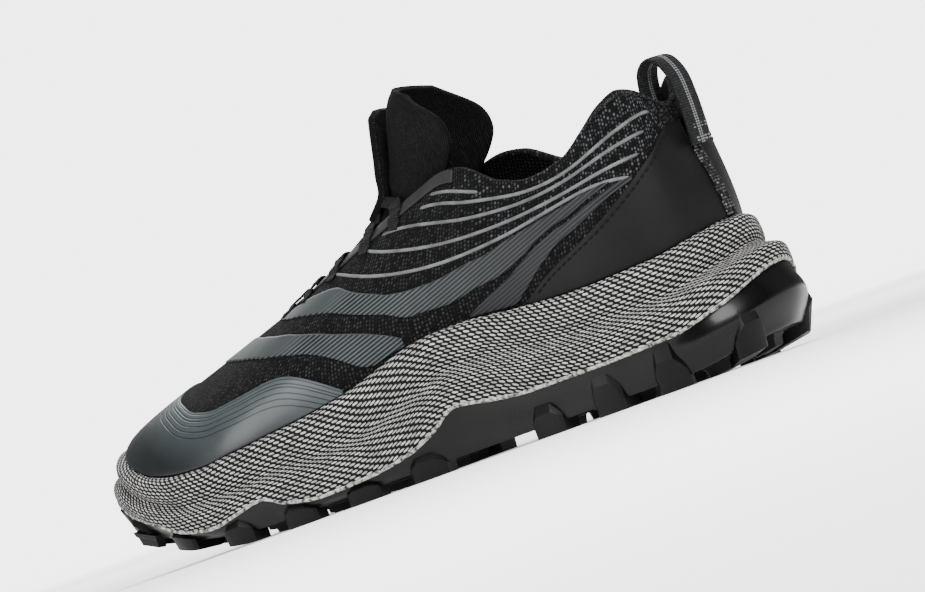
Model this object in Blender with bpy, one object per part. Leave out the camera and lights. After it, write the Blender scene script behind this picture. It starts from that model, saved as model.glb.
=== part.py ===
"""Trail running shoe for the left foot, at its real size.

The sole is a rubber tray with lugs, under a sculpted foam midsole that is a cup around the upper.
The upper is one knitted sock-like wall, with a toe cap, a heel counter and a throat binding on it.
Every form comes from one outline of the last and from short tables along that outline.

Inside this file lengths are millimetres: u runs from heel to toe, w to the wearer's left
(the lateral side of a left shoe) and z up. The finished part has the toe towards -Y.
"""
import math

import bmesh
import bpy
import numpy as np

# Driving dimensions, millimetres
SOLE_LENGTH = 300.0
BALL_WIDTH = 114.0
HEEL_STACK = 32.0
COLLAR_HEIGHT = 110.0
RIM_HEIGHT = 50.0
LUG_HEIGHT = 4.0
LUG_WIDTH = 13.0
LUG_LENGTH = 10.0
SOLE_SHEET = 2.5
TRAY_WALL = 3.0
RIM_WALL = 4.0
KNIT_WALL = 2.0
COLLAR_PAD = 3.0
INSOLE_THICKNESS = 4.0
INSOLE_DISH = 1.0
OVERLAY_THICKNESS = 0.9
TONGUE_THICKNESS = 3.0
LACE_WIDTH = 4.6
LACE_THICKNESS = 1.4
LOOP_WEBBING_WIDTH = 6.0
LOOP_WEBBING_THICKNESS = 0.9
PULL_TAB_WIDTH = 16.0
PULL_TAB_THICKNESS = 1.8
BACK_STRIP_WIDTH = 11.0
BACK_STRIP_THICKNESS = 0.9
LUG_DRAFT = 0.8
LUG_ROOT = 1.0
SIDE_LUG_STEP = 2.6

# Clearances between pieces that touch
GAP = 0.3
CURVED_GAP = 0.45
LACE_GAP = 1.8
TONGUE_GAP = 1.0

# How finely the curved forms are cut into facets
AROUND = 64
UPPER_LEVELS = 10
FLOOR_COLUMNS = 2
TONGUE_ACROSS = 9
STRIP_ROWS = 6
LACE_PIECES = 5
DENSE = 40
# pieces along and rows up
TOE_CAP_GRID = (30, 4)
COUNTER_GRID = (10, 4)
BINDING_GRID = (36, 1)

METRE = 0.001

# Plan outline: station as a share of the sole's length, half widths as shares of the ball width
OUTLINE_COLUMNS = ("station", "lateral", "medial")
OUTLINE = (
    (0.000, 0.000, 0.000),
    (0.020, 0.175, 0.175),
    (0.050, 0.281, 0.281),
    (0.100, 0.351, 0.351),
    (0.170, 0.390, 0.386),
    (0.250, 0.386, 0.360),
    (0.350, 0.377, 0.312),
    (0.450, 0.395, 0.296),
    (0.550, 0.447, 0.340),
    (0.650, 0.491, 0.430),
    (0.700, 0.505, 0.470),
    (0.750, 0.500, 0.489),
    (0.800, 0.474, 0.488),
    (0.860, 0.405, 0.460),
    (0.915, 0.310, 0.398),
    (0.960, 0.190, 0.300),
    (0.988, 0.060, 0.190),
    (1.000, -0.055, 0.055),
)

# Heights of the sole along its length, as shares of the rim height at the instep: lug tips,
# lower edge of the foam, groove along its side and top of the rim. The last column is the floor
# of the cup, as a share of the foam's stack under the heel
SOLE_COLUMNS = ("station", "tip", "low", "groove", "top", "floor")
SOLE = (
    (0.000, 0.10, 0.64, 0.81, 1.06, 1.00),
    (0.040, 0.05, 0.48, 0.72, 1.01, 1.00),
    (0.100, 0.00, 0.38, 0.66, 0.96, 1.00),
    (0.200, 0.00, 0.36, 0.64, 0.94, 1.00),
    (0.300, 0.00, 0.36, 0.67, 0.97, 0.98),
    (0.355, 0.00, 0.39, 0.72, 1.00, 0.97),
    (0.410, 0.00, 0.44, 0.71, 1.01, 0.95),
    (0.450, 0.00, 0.31, 0.64, 0.98, 0.93),
    (0.490, 0.00, 0.22, 0.56, 0.91, 0.91),
    (0.540, 0.00, 0.17, 0.48, 0.82, 0.88),
    (0.610, 0.00, 0.15, 0.45, 0.75, 0.83),
    (0.660, 0.00, 0.20, 0.45, 0.72, 0.80),
    (0.690, 0.00, 0.28, 0.43, 0.70, 0.78),
    (0.730, 0.01, 0.24, 0.41, 0.68, 0.78),
    (0.770, 0.04, 0.20, 0.40, 0.66, 0.78),
    (0.820, 0.09, 0.24, 0.42, 0.67, 0.81),
    (0.880, 0.18, 0.38, 0.52, 0.72, 0.88),
    (0.930, 0.28, 0.50, 0.63, 0.81, 0.98),
    (0.970, 0.40, 0.62, 0.76, 0.91, 1.09),
    (1.000, 0.50, 0.70, 0.84, 1.00, 1.19),
)

# How far the sole's side stands out from the outline, as shares of the ball width: edge of the
# flat bottom, belly of the rubber side, lip of the foam and top of the rim
SIDE_COLUMNS = ("station", "bottom", "belly", "lip", "rim")
SIDE = (
    (0.00, -0.018, 0.040, 0.004, -0.061),
    (0.04, -0.035, 0.018, 0.004, -0.048),
    (0.10, -0.044, -0.009, -0.004, -0.031),
    (0.20, -0.053, -0.035, -0.009, -0.026),
    (0.35, -0.061, -0.048, -0.009, -0.026),
    (0.42, -0.066, -0.048, -0.009, -0.026),
    (0.49, -0.053, -0.031, -0.009, -0.026),
    (0.55, -0.044, -0.022, -0.009, -0.026),
    (0.82, -0.040, -0.018, -0.009, -0.026),
    (0.93, -0.035, -0.013, -0.009, -0.031),
    (1.00, -0.035, -0.009, -0.004, -0.040),
)
BAND_SWELL = 2.0
LOW_BAND_SWELL = 1.8
GROOVE_DEPTH = 2.8

# Section of the foam's side. Above the groove: share of the way down from the rim, share of the
# rim's wall, share of the swell. Below it: shares of the way down from the groove to the tray
UPPER_BAND = (
    (0.04, 1.0, 0.0),
    (0.00, 0.6, 0.0),
    (0.05, 0.0, 0.0),
    (0.35, 0.0, 1.0),
    (0.65, 0.0, 1.0),
)
LOWER_BAND = (0.40, 0.75)

# Edge of the collar and throat, at shares of the way round from the heel to the toe: place along
# the sole, half widths as shares of the ball width, height as a share of the collar height
OPENING_COLUMNS = ("around", "along", "lateral", "medial", "height")
OPENING = (
    (0.000, 0.060, 0.000, 0.000, 0.900),
    (0.050, 0.062, 0.079, 0.079, 0.922),
    (0.100, 0.070, 0.158, 0.158, 0.975),
    (0.135, 0.084, 0.215, 0.210, 0.995),
    (0.165, 0.107, 0.258, 0.250, 0.968),
    (0.200, 0.137, 0.285, 0.272, 0.907),
    (0.240, 0.177, 0.292, 0.280, 0.843),
    (0.285, 0.227, 0.288, 0.276, 0.823),
    (0.330, 0.273, 0.270, 0.258, 0.855),
    (0.375, 0.323, 0.232, 0.225, 0.943),
    (0.405, 0.351, 0.202, 0.200, 0.957),
    (0.450, 0.400, 0.175, 0.175, 0.927),
    (0.500, 0.458, 0.158, 0.158, 0.875),
    (0.555, 0.507, 0.149, 0.149, 0.829),
    (0.610, 0.557, 0.136, 0.136, 0.780),
    (0.680, 0.600, 0.110, 0.110, 0.740),
    (0.770, 0.623, 0.079, 0.079, 0.724),
    (0.890, 0.637, 0.035, 0.035, 0.719),
    (1.000, 0.640, 0.000, 0.000, 0.718),
)

# How the wall of the upper leaves the rim and reaches the opening, as shares of the collar
# height: upright start, outward start, outward and upright reach below the opening
WALL_COLUMNS = ("around", "rise", "flare", "lead", "drop")
WALL = (
    (0.000, 0.11, 0.005, 0.000, 0.15),
    (0.135, 0.16, 0.018, 0.036, 0.22),
    (0.285, 0.12, 0.014, 0.023, 0.13),
    (0.375, 0.15, 0.009, 0.064, 0.16),
    (0.450, 0.15, 0.009, 0.109, 0.15),
    (0.555, 0.16, 0.009, 0.182, 0.12),
    (0.680, 0.15, 0.005, 0.218, 0.08),
    (0.800, 0.13, 0.000, 0.291, 0.09),
    (0.900, 0.09, -0.015, 0.370, 0.11),
    (1.000, 0.06, -0.030, 0.409, 0.12),
)
OUTWARD_PULL = 15.0

# Padding round the ankle: it ends at a share of the way round and starts at a level of the wall
PAD_END = 0.43
PAD_FADE = 0.08
PAD_FOOT = 0.45
PAD_CLIMB = 0.35

# Upper edges of the overlays, as shares of the wall's height above the rim
TOE_CAP_COLUMNS = ("around", "edge")
TOE_CAP = (
    (0.545, 0.03),
    (0.600, 0.22),
    (0.650, 0.36),
    (0.700, 0.41),
    (0.760, 0.45),
    (0.850, 0.52),
    (1.000, 0.58),
)
COUNTER_COLUMNS = ("around", "edge")
COUNTER = (
    (0.000, 0.70),
    (0.050, 0.66),
    (0.095, 0.56),
    (0.140, 0.46),
    (0.200, 0.36),
    (0.260, 0.22),
    (0.312, 0.03),
)
COUNTER_SPLIT = 0.018
THROAT_START = 0.385
BINDING_FOOT = 0.915
BINDING_TOP = 0.995
OVERLAY_FOOT = 0.012

# Middle of the tongue above the throat, and its wings: places as shares of the sole's length,
# heights of the collar height and the wings' half width of the ball width
TONGUE_COLUMNS = ("rise", "along", "height", "wing", "wing_along", "wing_height")
TONGUE_TOP = (
    (0.00, 0.468, 0.990, 0.146, 0.378, 0.918),
    (0.30, 0.458, 1.060, 0.152, 0.350, 0.985),
    (0.60, 0.446, 1.160, 0.163, 0.335, 1.065),
    (0.85, 0.434, 1.240, 0.162, 0.328, 1.135),
    (1.00, 0.418, 1.290, 0.142, 0.336, 1.195),
)
TONGUE_RISES = (0.00, 0.30, 0.55, 0.80, 1.00)

# The pull tab's path, as shares of its reach over the collar and of its height
PULL_TAB_HEIGHT = 35.0
STRIP_TOP = 0.66
PULL_TAB = ((0.00, 0.00), (-0.04, 0.26), (-0.05, 0.50), (0.00, 0.76), (0.24, 0.95), (0.55, 1.00),
            (0.86, 0.92), (1.00, 0.76), (1.02, 0.58), (1.00, 0.42), (0.98, 0.28))

# Lugs of the sole: station, place across as a share of the ball width, +1 point forward or
# -1 point back, size
# Rows of the forefoot: place across, first station and count
FOREFOOT_ROWS = (
    (-0.255, 0.560, 4),
    (-0.080, 0.515, 5),
    (0.105, 0.565, 4),
    (0.270, 0.515, 5),
)
FOREFOOT_PITCH = 0.098
TOE_LUGS = (
    (0.925, 0.190, 1, 0.85),
    (0.955, 0.010, 1, 0.90),
    (0.930, -0.190, 1, 0.95),
    (0.905, -0.010, 1, 0.80),
)
HEEL_LUGS = (
    (0.085, -0.165, -1, 0.95),
    (0.085, 0.160, -1, 0.95),
    (0.050, 0.000, -1, 0.90),
    (0.155, 0.000, -1, 1.00),
    (0.205, -0.150, -1, 1.05),
    (0.195, 0.170, -1, 1.05),
    (0.270, 0.030, -1, 1.05),
    (0.320, -0.140, -1, 1.00),
    (0.310, 0.175, -1, 1.00),
)

# Lugs that climb the side, at shares of the way round each half, with the height they climb to
LATERAL_SIDE_LUGS = (
    (0.070, 13.0),
    (0.165, 14.0),
    (0.245, 13.0),
    (0.325, 8.0),
    (0.470, 5.5),
    (0.545, 5.0),
    (0.620, 6.5),
    (0.700, 6.0),
    (0.785, 6.0),
    (0.870, 7.0),
    (0.950, 7.5),
)
MEDIAL_SIDE_LUGS = (
    (0.070, 13.0),
    (0.165, 14.0),
    (0.245, 12.0),
    (0.325, 8.0),
    (0.500, 5.5),
    (0.575, 5.0),
    (0.650, 6.0),
    (0.725, 6.0),
    (0.805, 6.0),
    (0.890, 7.0),
)
SIDE_LUG_LENGTH = 13.0
SIDE_LUG_DEPTH = 10.0
SIDE_LUG_SHOULDER = 0.45
# Sections of such a lug: share of its length, share of its full depth
SIDE_LUG_SECTIONS = ((-0.5, 0.45), (0.0, 1.0), (0.5, 0.45))

# Outlines of a lug's tip, as shares of its half width and half length, point forward
CHEVRON = ((-1.0, -0.65), (-0.6, -1.0), (0.0, -0.35), (0.6, -1.0), (1.0, -0.65), (0.55, 1.0),
           (-0.55, 1.0))

# Pairs of lace loops, as shares of the way round from the heel to the toe
LACE_STATIONS = (0.480, 0.530, 0.590, 0.655, 0.735)
TONGUE_FOOT = (0.93, 0.83)
TONGUE_EDGE = (0.86, 0.93, 1.0)

# How high the tongue arches between the throat's edges, as a share of the throat's width there,
# and how far the arch leans towards the toe, as a share of its height
CROWN_COLUMNS = ("around", "crown", "lean")
TONGUE_CROWN = (
    (0.480, 0.27, 1.00),
    (0.530, 0.22, 0.45),
    (0.590, 0.17, 0.15),
    (0.655, 0.14, 0.00),
    (0.735, 0.12, 0.00),
    (0.930, 0.10, 0.00),
)
LOOP_LEVELS = (0.84, 0.92)
EYELET_INSET = 0.5

# Finishes: name, colour and roughness
RUBBER = ("rubber", 0x151516, 0.45)
FOAM = ("foam under woven wrap", 0x6B6965, 0.85)
KNIT = ("knitted polyester", 0x17181A, 0.9)
FILM = ("moulded toe film", 0x4C5558, 0.4)
SYNTHETIC = ("synthetic leather", 0x1B1B1C, 0.55)
WEBBING = ("woven webbing", 0x141415, 0.85)
SOCK_LINER = ("sock liner cloth", 0x202124, 0.95)


def read(table, columns, name, place):
    """A column's value at a place, on a smooth curve that adds no waves between the rows."""
    rows = np.array(table, dtype=float)
    x = rows[:, 0]
    y = rows[:, columns.index(name)]
    step = np.diff(x)
    slope = np.diff(y) / step
    tangent = np.zeros(len(x))
    tangent[0] = slope[0]
    tangent[-1] = slope[-1]
    same_way = slope[:-1] * slope[1:] > 0
    both = np.where(same_way, slope[:-1] + slope[1:], 1.0)
    tangent[1:-1] = np.where(same_way, 2 * slope[:-1] * slope[1:] / both, 0.0)
    place = np.clip(place, x[0], x[-1])
    k = np.clip(np.searchsorted(x, place) - 1, 0, len(step) - 1)
    t = (place - x[k]) / step[k]
    return ((1 + 2 * t) * (1 - t) ** 2 * y[k] + t * (1 - t) ** 2 * step[k] * tangent[k]
            + t * t * (3 - 2 * t) * y[k + 1] - t * t * (1 - t) * step[k] * tangent[k + 1])


def outline_curves():
    """Both halves of the plan outline from heel to toe, as dense points and their normals."""
    rows = np.array(OUTLINE)
    lateral = np.stack([rows[:, 0] * SOLE_LENGTH, rows[:, 1] * BALL_WIDTH], 1)
    medial = np.stack([rows[:, 0] * SOLE_LENGTH, -rows[:, 2] * BALL_WIDTH], 1)
    loop = np.concatenate([lateral, medial[-2:0:-1]])
    count = len(loop)
    dense = []
    for k in range(count):
        a, b, c, d = (loop[(k + j) % count] for j in (-1, 0, 1, 2))
        ab, bc, cd = (math.sqrt(np.linalg.norm(q - p)) for p, q in ((a, b), (b, c), (c, d)))
        leave = bc * ((b - a) / ab - (c - a) / (ab + bc)) + (c - b)
        reach = bc * ((d - c) / cd - (d - b) / (bc + cd)) + (c - b)
        for j in range(DENSE):
            t = j / DENSE
            dense.append((1 + 2 * t) * (1 - t) ** 2 * b + t * (1 - t) ** 2 * leave
                         + t * t * (3 - 2 * t) * c - t * t * (1 - t) * reach)
    dense = np.array(dense)
    along = np.roll(dense, -1, 0) - np.roll(dense, 1, 0)
    along /= np.linalg.norm(along, axis=1)[:, None]
    out = np.stack([-along[:, 1], along[:, 0]], 1)
    toe = (len(rows) - 1) * DENSE
    order = np.arange(len(dense) + 1) % len(dense)
    halves = []
    for index in (order[:toe + 1], order[toe:][::-1]):
        points = dense[index]
        length = np.concatenate([[0], np.cumsum(np.linalg.norm(np.diff(points, axis=0), axis=1))])
        halves.append((length / length[-1], points, out[index]))
    return halves


HALVES = outline_curves()


PERIMETER = sum(np.linalg.norm(np.diff(half[1], axis=0), axis=1).sum() for half in HALVES)


def turn_for(length):
    """Turn that goes with a length along the outline, either way from the heel."""
    return length / PERIMETER


def edge(turn):
    """Plan point, outward direction and share from heel to toe, for turn 0 to 1 all the way round."""
    turn = turn % 1.0
    side = 0 if turn <= 0.5 else 1
    around = 2 * turn if side == 0 else 2 - 2 * turn
    share, points, out = HALVES[side]
    point = np.array([np.interp(around, share, points[:, k]) for k in (0, 1)])
    normal = np.array([np.interp(around, share, out[:, k]) for k in (0, 1)])
    return point, normal / np.linalg.norm(normal), around, side


def sole_height(name, station):
    share = read(SOLE, SOLE_COLUMNS, name, station)
    if name == "floor":
        return share * HEEL_STACK
    return share * RIM_HEIGHT


def bottom_height(station):
    """Underside of the rubber sheet, a lug's height above the lug tips."""
    return sole_height("tip", station) + LUG_HEIGHT


def side_reach(name, station):
    return read(SIDE, SIDE_COLUMNS, name, station) * BALL_WIDTH


def at(turn, reach, height):
    """A point that stands off the outline by a reach, at a height."""
    point, normal, _, _ = edge(turn)
    plan = point + normal * reach
    return np.array([plan[0], plan[1], height])


def station_at(turn):
    return float(np.clip(edge(turn)[0][0] / SOLE_LENGTH, 0, 1))


TURNS = [k / AROUND for k in range(AROUND)]


def on_level(turn, reach, level):
    """A point that stands off the outline, at the height that a level has where the point is."""
    point = at(turn, reach, 0.0)
    point[2] = level(float(np.clip(point[0] / SOLE_LENGTH, 0, 1)))
    return point


def side_ring(reach, height):
    """One closed ring on an upright side: reach and height follow the outline's station."""
    return [at(turn, reach(station_at(turn)), height(station_at(turn))) for turn in TURNS]


def level_ring(reach, level):
    """One closed ring at the edge of a floor, at the floor's own height."""
    return [on_level(turn, reach(station_at(turn)), level) for turn in TURNS]


class Shell:
    """Collects rings and grids of points into one closed mesh."""

    def __init__(self):
        self.verts = []
        self.faces = []

    def add(self, points):
        start = len(self.verts)
        self.verts.extend(points)
        return list(range(start, start + len(points)))

    def bridge(self, lower, upper):
        """Closes the band between two rings of as many points."""
        count = len(lower)
        for k in range(count):
            n = (k + 1) % count
            self.faces.append((lower[k], lower[n], upper[n], upper[k]))

    def sheet(self, rows):
        """Closes a grid of rows of as many points."""
        for low, high in zip(rows, rows[1:]):
            for k in range(len(low) - 1):
                self.faces.append((low[k], low[k + 1], high[k + 1], high[k]))

    def floor(self, ring, sink=0.0):
        """Fills a ring with rungs from the lateral to the medial side, hollowed by a sink."""
        half = len(ring) // 2
        rungs = []
        for k in range(1, half):
            a = np.array(self.verts[ring[k]])
            b = np.array(self.verts[ring[-k]])
            inner = []
            for c in range(1, FLOOR_COLUMNS + 1):
                share = c / (FLOOR_COLUMNS + 1)
                point = a + (b - a) * share
                point[2] -= sink * 4 * share * (1 - share)
                inner.append(point)
            rungs.append([ring[k]] + self.add(inner) + [ring[-k]])
        self.sheet(rungs)
        for end, rung in ((ring[0], rungs[0]), (ring[half], rungs[-1])):
            for k in range(len(rung) - 1):
                self.faces.append((end, rung[k], rung[k + 1]))

    def slab(self, front, back):
        """Closes a sheet of some thickness from its two faces, grids of points."""
        front_rows = [self.add(row) for row in front]
        back_rows = [self.add(row) for row in back]
        self.sheet(front_rows)
        self.sheet(back_rows)
        self.sheet([front_rows[0], back_rows[0]])
        self.sheet([front_rows[-1], back_rows[-1]])
        self.sheet([[row[0] for row in front_rows], [row[0] for row in back_rows]])
        self.sheet([[row[-1] for row in front_rows], [row[-1] for row in back_rows]])


def to_row(point):
    """From heel-to-toe millimetres to the part's metres, toe towards -Y."""
    return (point[1] * METRE, (SOLE_LENGTH / 2 - point[0]) * METRE, point[2] * METRE)


def finish_material(finish):
    name, colour, roughness = finish
    material = bpy.data.materials.get(name)
    if material is None:
        material = bpy.data.materials.new(name)
        material.use_nodes = True
        shader = material.node_tree.nodes["Principled BSDF"]
        channels = [((colour >> shift) & 255) / 255 for shift in (16, 8, 0)]
        linear = [c / 12.92 if c <= 0.04045 else ((c + 0.055) / 1.055) ** 2.4 for c in channels]
        shader.inputs["Base Color"].default_value = (*linear, 1.0)
        shader.inputs["Roughness"].default_value = roughness
        shader.inputs["Metallic"].default_value = 0.0
    return material


def make_object(name, shell, finish, crease=40.0):
    """One solid from a shell, with its faces turned out."""
    mesh = bpy.data.meshes.new(name)
    mesh.from_pydata([to_row(p) for p in shell.verts], [], shell.faces)
    work = bmesh.new()
    work.from_mesh(mesh)
    bmesh.ops.remove_doubles(work, verts=work.verts, dist=1e-7)
    bmesh.ops.triangulate(work, faces=work.faces)
    bmesh.ops.recalc_face_normals(work, faces=work.faces)
    work.to_mesh(mesh)
    work.free()
    mesh.shade_smooth()
    mesh.set_sharp_from_angle(angle=math.radians(crease))
    mesh.materials.append(finish_material(finish))
    obj = bpy.data.objects.new(name, mesh)
    bpy.context.scene.collection.objects.link(obj)
    return obj


def join_by_union(obj, tool_shell, name):
    """Fuses other bodies onto a solid, with the other bodies kept as a hidden guide."""
    tool = make_object(name, tool_shell, RUBBER)
    tool.hide_render = True
    tool.display_type = "WIRE"
    union = obj.modifiers.new("fused " + name, "BOOLEAN")
    union.operation = "UNION"
    union.solver = "EXACT"
    union.use_self = True
    union.object = tool
    return tool


def lug_body(shell, station, across, points, size):
    """A chevron lug with drafted sides, rooted in the rubber sheet."""
    tips = []
    roots = []
    half_width = LUG_WIDTH / 2 * size
    half_length = LUG_LENGTH / 2 * size
    for x, y in CHEVRON:
        for group, grow, foot in ((tips, 0.0, False), (roots, LUG_DRAFT, True)):
            w = across * BALL_WIDTH + x * (half_width + grow)
            u = station * SOLE_LENGTH + points * y * (half_length + grow)
            base = bottom_height(u / SOLE_LENGTH)
            group.append(np.array([u, w, base + LUG_ROOT if foot else base - LUG_HEIGHT]))
    tip_ring = shell.add(tips)
    root_ring = shell.add(roots)
    shell.bridge(tip_ring, root_ring)
    shell.faces.append(tuple(tip_ring))
    shell.faces.append(tuple(root_ring))


def skin_reach(station, height):
    """How far the rubber side stands out at a height between the bottom edge and the lip."""
    low = bottom_height(station)
    top = sole_height("low", station)
    share = float(np.clip((height - low) / max(top - low, GAP), 0, 1))
    names = ("bottom", "belly", "lip")
    k = 0 if share < 0.5 else 1
    a, b = side_reach(names[k], station), side_reach(names[k + 1], station)
    return a + (b - a) * (share * 2 - k)


def side_lug_body(shell, turn, climb):
    """A lug at the sole's edge that runs down from the rubber side to the ground."""
    sections = []
    for share, trim in SIDE_LUG_SECTIONS:
        here = turn + turn_for(share * SIDE_LUG_LENGTH)
        s = station_at(here)
        low = bottom_height(s)
        tip = low - LUG_HEIGHT
        top = min(low + climb, sole_height("low", s) - LUG_ROOT)
        step = SIDE_LUG_STEP * trim
        edge_reach = side_reach("bottom", s)
        inner_reach = edge_reach - TRAY_WALL / 2 - SIDE_LUG_DEPTH * trim
        middle = low + (top - low) * SIDE_LUG_SHOULDER
        sections.append([
            on_level(here, inner_reach, lambda p: bottom_height(p) - LUG_HEIGHT),
            at(here, edge_reach + step, tip),
            at(here, skin_reach(s, middle) + step, middle),
            at(here, skin_reach(s, top) - LUG_ROOT, top),
            at(here, skin_reach(s, middle) - LUG_ROOT, middle),
            on_level(here, edge_reach - TRAY_WALL / 2, lambda p: bottom_height(p) + LUG_ROOT),
            on_level(here, inner_reach, lambda p: bottom_height(p) + LUG_ROOT),
        ])
    rings = [shell.add(section) for section in sections]
    for first, second in zip(rings, rings[1:]):
        shell.bridge(first, second)
    shell.faces.append(tuple(rings[0]))
    shell.faces.append(tuple(rings[-1]))


def make_outsole():
    """Rubber tray: a sheet under the foam, a side that climbs to the foam's lip, and the lugs."""
    shell = Shell()

    def low(s):
        return sole_height("low", s)

    def middle(s):
        return (bottom_height(s) + sole_height("low", s)) / 2

    bottom = shell.add(level_ring(lambda s: side_reach("bottom", s), bottom_height))
    belly = shell.add(side_ring(lambda s: side_reach("belly", s), middle))
    lip = shell.add(side_ring(lambda s: side_reach("lip", s), low))
    inside_lip = shell.add(side_ring(lambda s: side_reach("lip", s) - TRAY_WALL, low))
    inside = shell.add(level_ring(lambda s: side_reach("bottom", s) - TRAY_WALL,
                                  lambda s: bottom_height(s) + SOLE_SHEET))
    for first, second in zip((bottom, belly, lip, inside_lip), (belly, lip, inside_lip, inside)):
        shell.bridge(first, second)
    shell.floor(bottom)
    shell.floor(inside)
    outsole = make_object("outsole", shell, RUBBER, 30.0)

    lugs = Shell()
    for across, first, count in FOREFOOT_ROWS:
        for k in range(count):
            lug_body(lugs, first + k * FOREFOOT_PITCH, across, 1, 1.0)
    for row in TOE_LUGS + HEEL_LUGS:
        lug_body(lugs, *row)
    for rows, sign in ((LATERAL_SIDE_LUGS, 1), (MEDIAL_SIDE_LUGS, -1)):
        for around, climb in rows:
            side_lug_body(lugs, (sign * around / 2) % 1.0, climb)
    join_by_union(outsole, lugs, "lug guide")
    return outsole


def make_midsole():
    """Foam: two swelling bands with a groove between them, and a cup for the upper inside."""
    shell = Shell()

    def band_height(share):
        def height(s):
            top, groove = sole_height("top", s), sole_height("groove", s)
            return top + (groove - top) * share
        return height

    def low_height(share):
        def height(s):
            groove, low = sole_height("groove", s), sole_height("low", s) + GAP
            return groove + (low - groove) * share
        return height

    def groove_reach(s):
        return (side_reach("rim", s) + side_reach("lip", s)) / 2 + BAND_SWELL - GROOVE_DEPTH

    def cup(s):
        return side_reach("rim", s) - RIM_WALL

    rings = [level_ring(cup, lambda s: sole_height("floor", s))]
    for down, wall, swell in UPPER_BAND:
        inset = RIM_WALL * wall - BAND_SWELL * swell
        rings.append(side_ring(lambda s: side_reach("rim", s) - inset, band_height(down)))
    rings.append(side_ring(groove_reach, band_height(1.0)))
    for down in LOWER_BAND:
        rings.append(side_ring(lambda s: side_reach("lip", s) + LOW_BAND_SWELL, low_height(down)))
    rings += [
        side_ring(lambda s: side_reach("lip", s) + GAP, low_height(1.0)),
        side_ring(lambda s: side_reach("lip", s) - TRAY_WALL - GAP, low_height(1.0)),
        level_ring(lambda s: side_reach("bottom", s) - TRAY_WALL - GAP,
                   lambda s: bottom_height(s) + SOLE_SHEET + GAP),
    ]
    added = [shell.add(ring) for ring in rings]
    for first, second in zip(added, added[1:]):
        shell.bridge(first, second)
    shell.floor(added[0])
    shell.floor(added[-1])
    return make_object("midsole", shell, FOAM)


def upper_point(turn, level):
    """Outer face of the upper: level -1 is its foot in the cup, 0 the rim and 1 the opening."""
    point, normal, around, side = edge(turn)
    s = float(np.clip(point[0] / SOLE_LENGTH, 0, 1))
    reach = side_reach("rim", s) - RIM_WALL - GAP
    plan = point + normal * reach
    rim = sole_height("top", s) + GAP
    if level < 0:
        foot = sole_height("floor", float(np.clip(plan[0] / SOLE_LENGTH, 0, 1))) + GAP
        return np.array([plan[0], plan[1], rim + (foot - rim) * -level])
    start = np.array([plan[0], plan[1], rim])
    width = read(OPENING, OPENING_COLUMNS, "lateral" if side == 0 else "medial", around)
    end = np.array([
        read(OPENING, OPENING_COLUMNS, "along", around) * SOLE_LENGTH,
        width * BALL_WIDTH * (1 if side == 0 else -1),
        read(OPENING, OPENING_COLUMNS, "height", around) * COLLAR_HEIGHT,
    ])
    rise, flare, lead, drop = (read(WALL, WALL_COLUMNS, name, around) * COLLAR_HEIGHT
                               for name in WALL_COLUMNS[1:])
    away = start[:2] - end[:2] + normal * OUTWARD_PULL
    away /= np.linalg.norm(away)
    first = start + np.array([normal[0] * flare, normal[1] * flare, rise])
    last = end + np.array([away[0] * lead, away[1] * lead, -drop])
    t = level
    return ((1 - t) ** 3 * start + 3 * (1 - t) ** 2 * t * first + 3 * (1 - t) * t * t * last
            + t ** 3 * end)


def upper_normal(turn, level):
    """Outward direction of the upper's face."""
    step = 0.004
    low = upper_point(turn, max(level - step, 0.0 if level >= 0 else -1.0))
    high = upper_point(turn, min(level + step, 1.0 if level > 0 else 0.0))
    if level == 0:
        low, high = upper_point(turn, 0.0), upper_point(turn, step)
    up = high - low
    along = upper_point(turn + step, level) - upper_point(turn - step, level)
    normal = np.cross(up, along)
    normal /= np.linalg.norm(normal)
    _, plan_normal, _, _ = edge(turn)
    if normal[0] * plan_normal[0] + normal[1] * plan_normal[1] + normal[2] * 0.8 < 0:
        normal = -normal
    return normal


def wall_at(around, level):
    """Thickness of the upper: a plain knit, padded round the ankle."""
    ankle = float(np.clip((PAD_END - around) / PAD_FADE, 0, 1))
    height = float(np.clip((level - PAD_FOOT) / PAD_CLIMB, 0, 1))
    return KNIT_WALL + COLLAR_PAD * ankle * height * height * (3 - 2 * height)


def off_upper(turn, level, distance):
    return upper_point(turn, level) + upper_normal(turn, level) * distance


def make_upper():
    """One knitted wall, open at the collar and throat and underneath."""
    shell = Shell()
    levels = [-1.0, 0.0] + [k / (UPPER_LEVELS - 1) for k in range(1, UPPER_LEVELS)]
    outer = []
    inner = []
    for level in levels:
        outer.append(shell.add([upper_point(turn, level) for turn in TURNS]))
        row = []
        for turn in TURNS:
            around = edge(turn)[2]
            if level <= 0:
                point, normal, _, _ = edge(turn)
                face = upper_point(turn, level)
                thick = KNIT_WALL
                row.append(face - np.array([normal[0] * thick, normal[1] * thick, 0]))
            else:
                row.append(off_upper(turn, level, -wall_at(around, level)))
        inner.append(shell.add(row))
    for rows in (outer, inner):
        for first, second in zip(rows, rows[1:]):
            shell.bridge(first, second)
    shell.bridge(outer[0], inner[0])
    shell.bridge(outer[-1], inner[-1])
    return make_object("upper", shell, KNIT, 50.0)


def overlay(name, turns, foot, top, rows, finish):
    """A sheet laid on the upper, between two levels that are functions of the turn."""
    front = []
    back = []
    for k in range(rows + 1):
        share = k / rows
        levels = [foot(t) + (top(t) - foot(t)) * share for t in turns]
        back.append([off_upper(t, v, CURVED_GAP) for t, v in zip(turns, levels)])
        front.append([off_upper(t, v, CURVED_GAP + OVERLAY_THICKNESS)
                      for t, v in zip(turns, levels)])
    shell = Shell()
    shell.slab(front, back)
    return make_object(name, shell, finish)


def turn_range(first, last, pieces):
    return [first + (last - first) * k / pieces for k in range(pieces + 1)]


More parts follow.
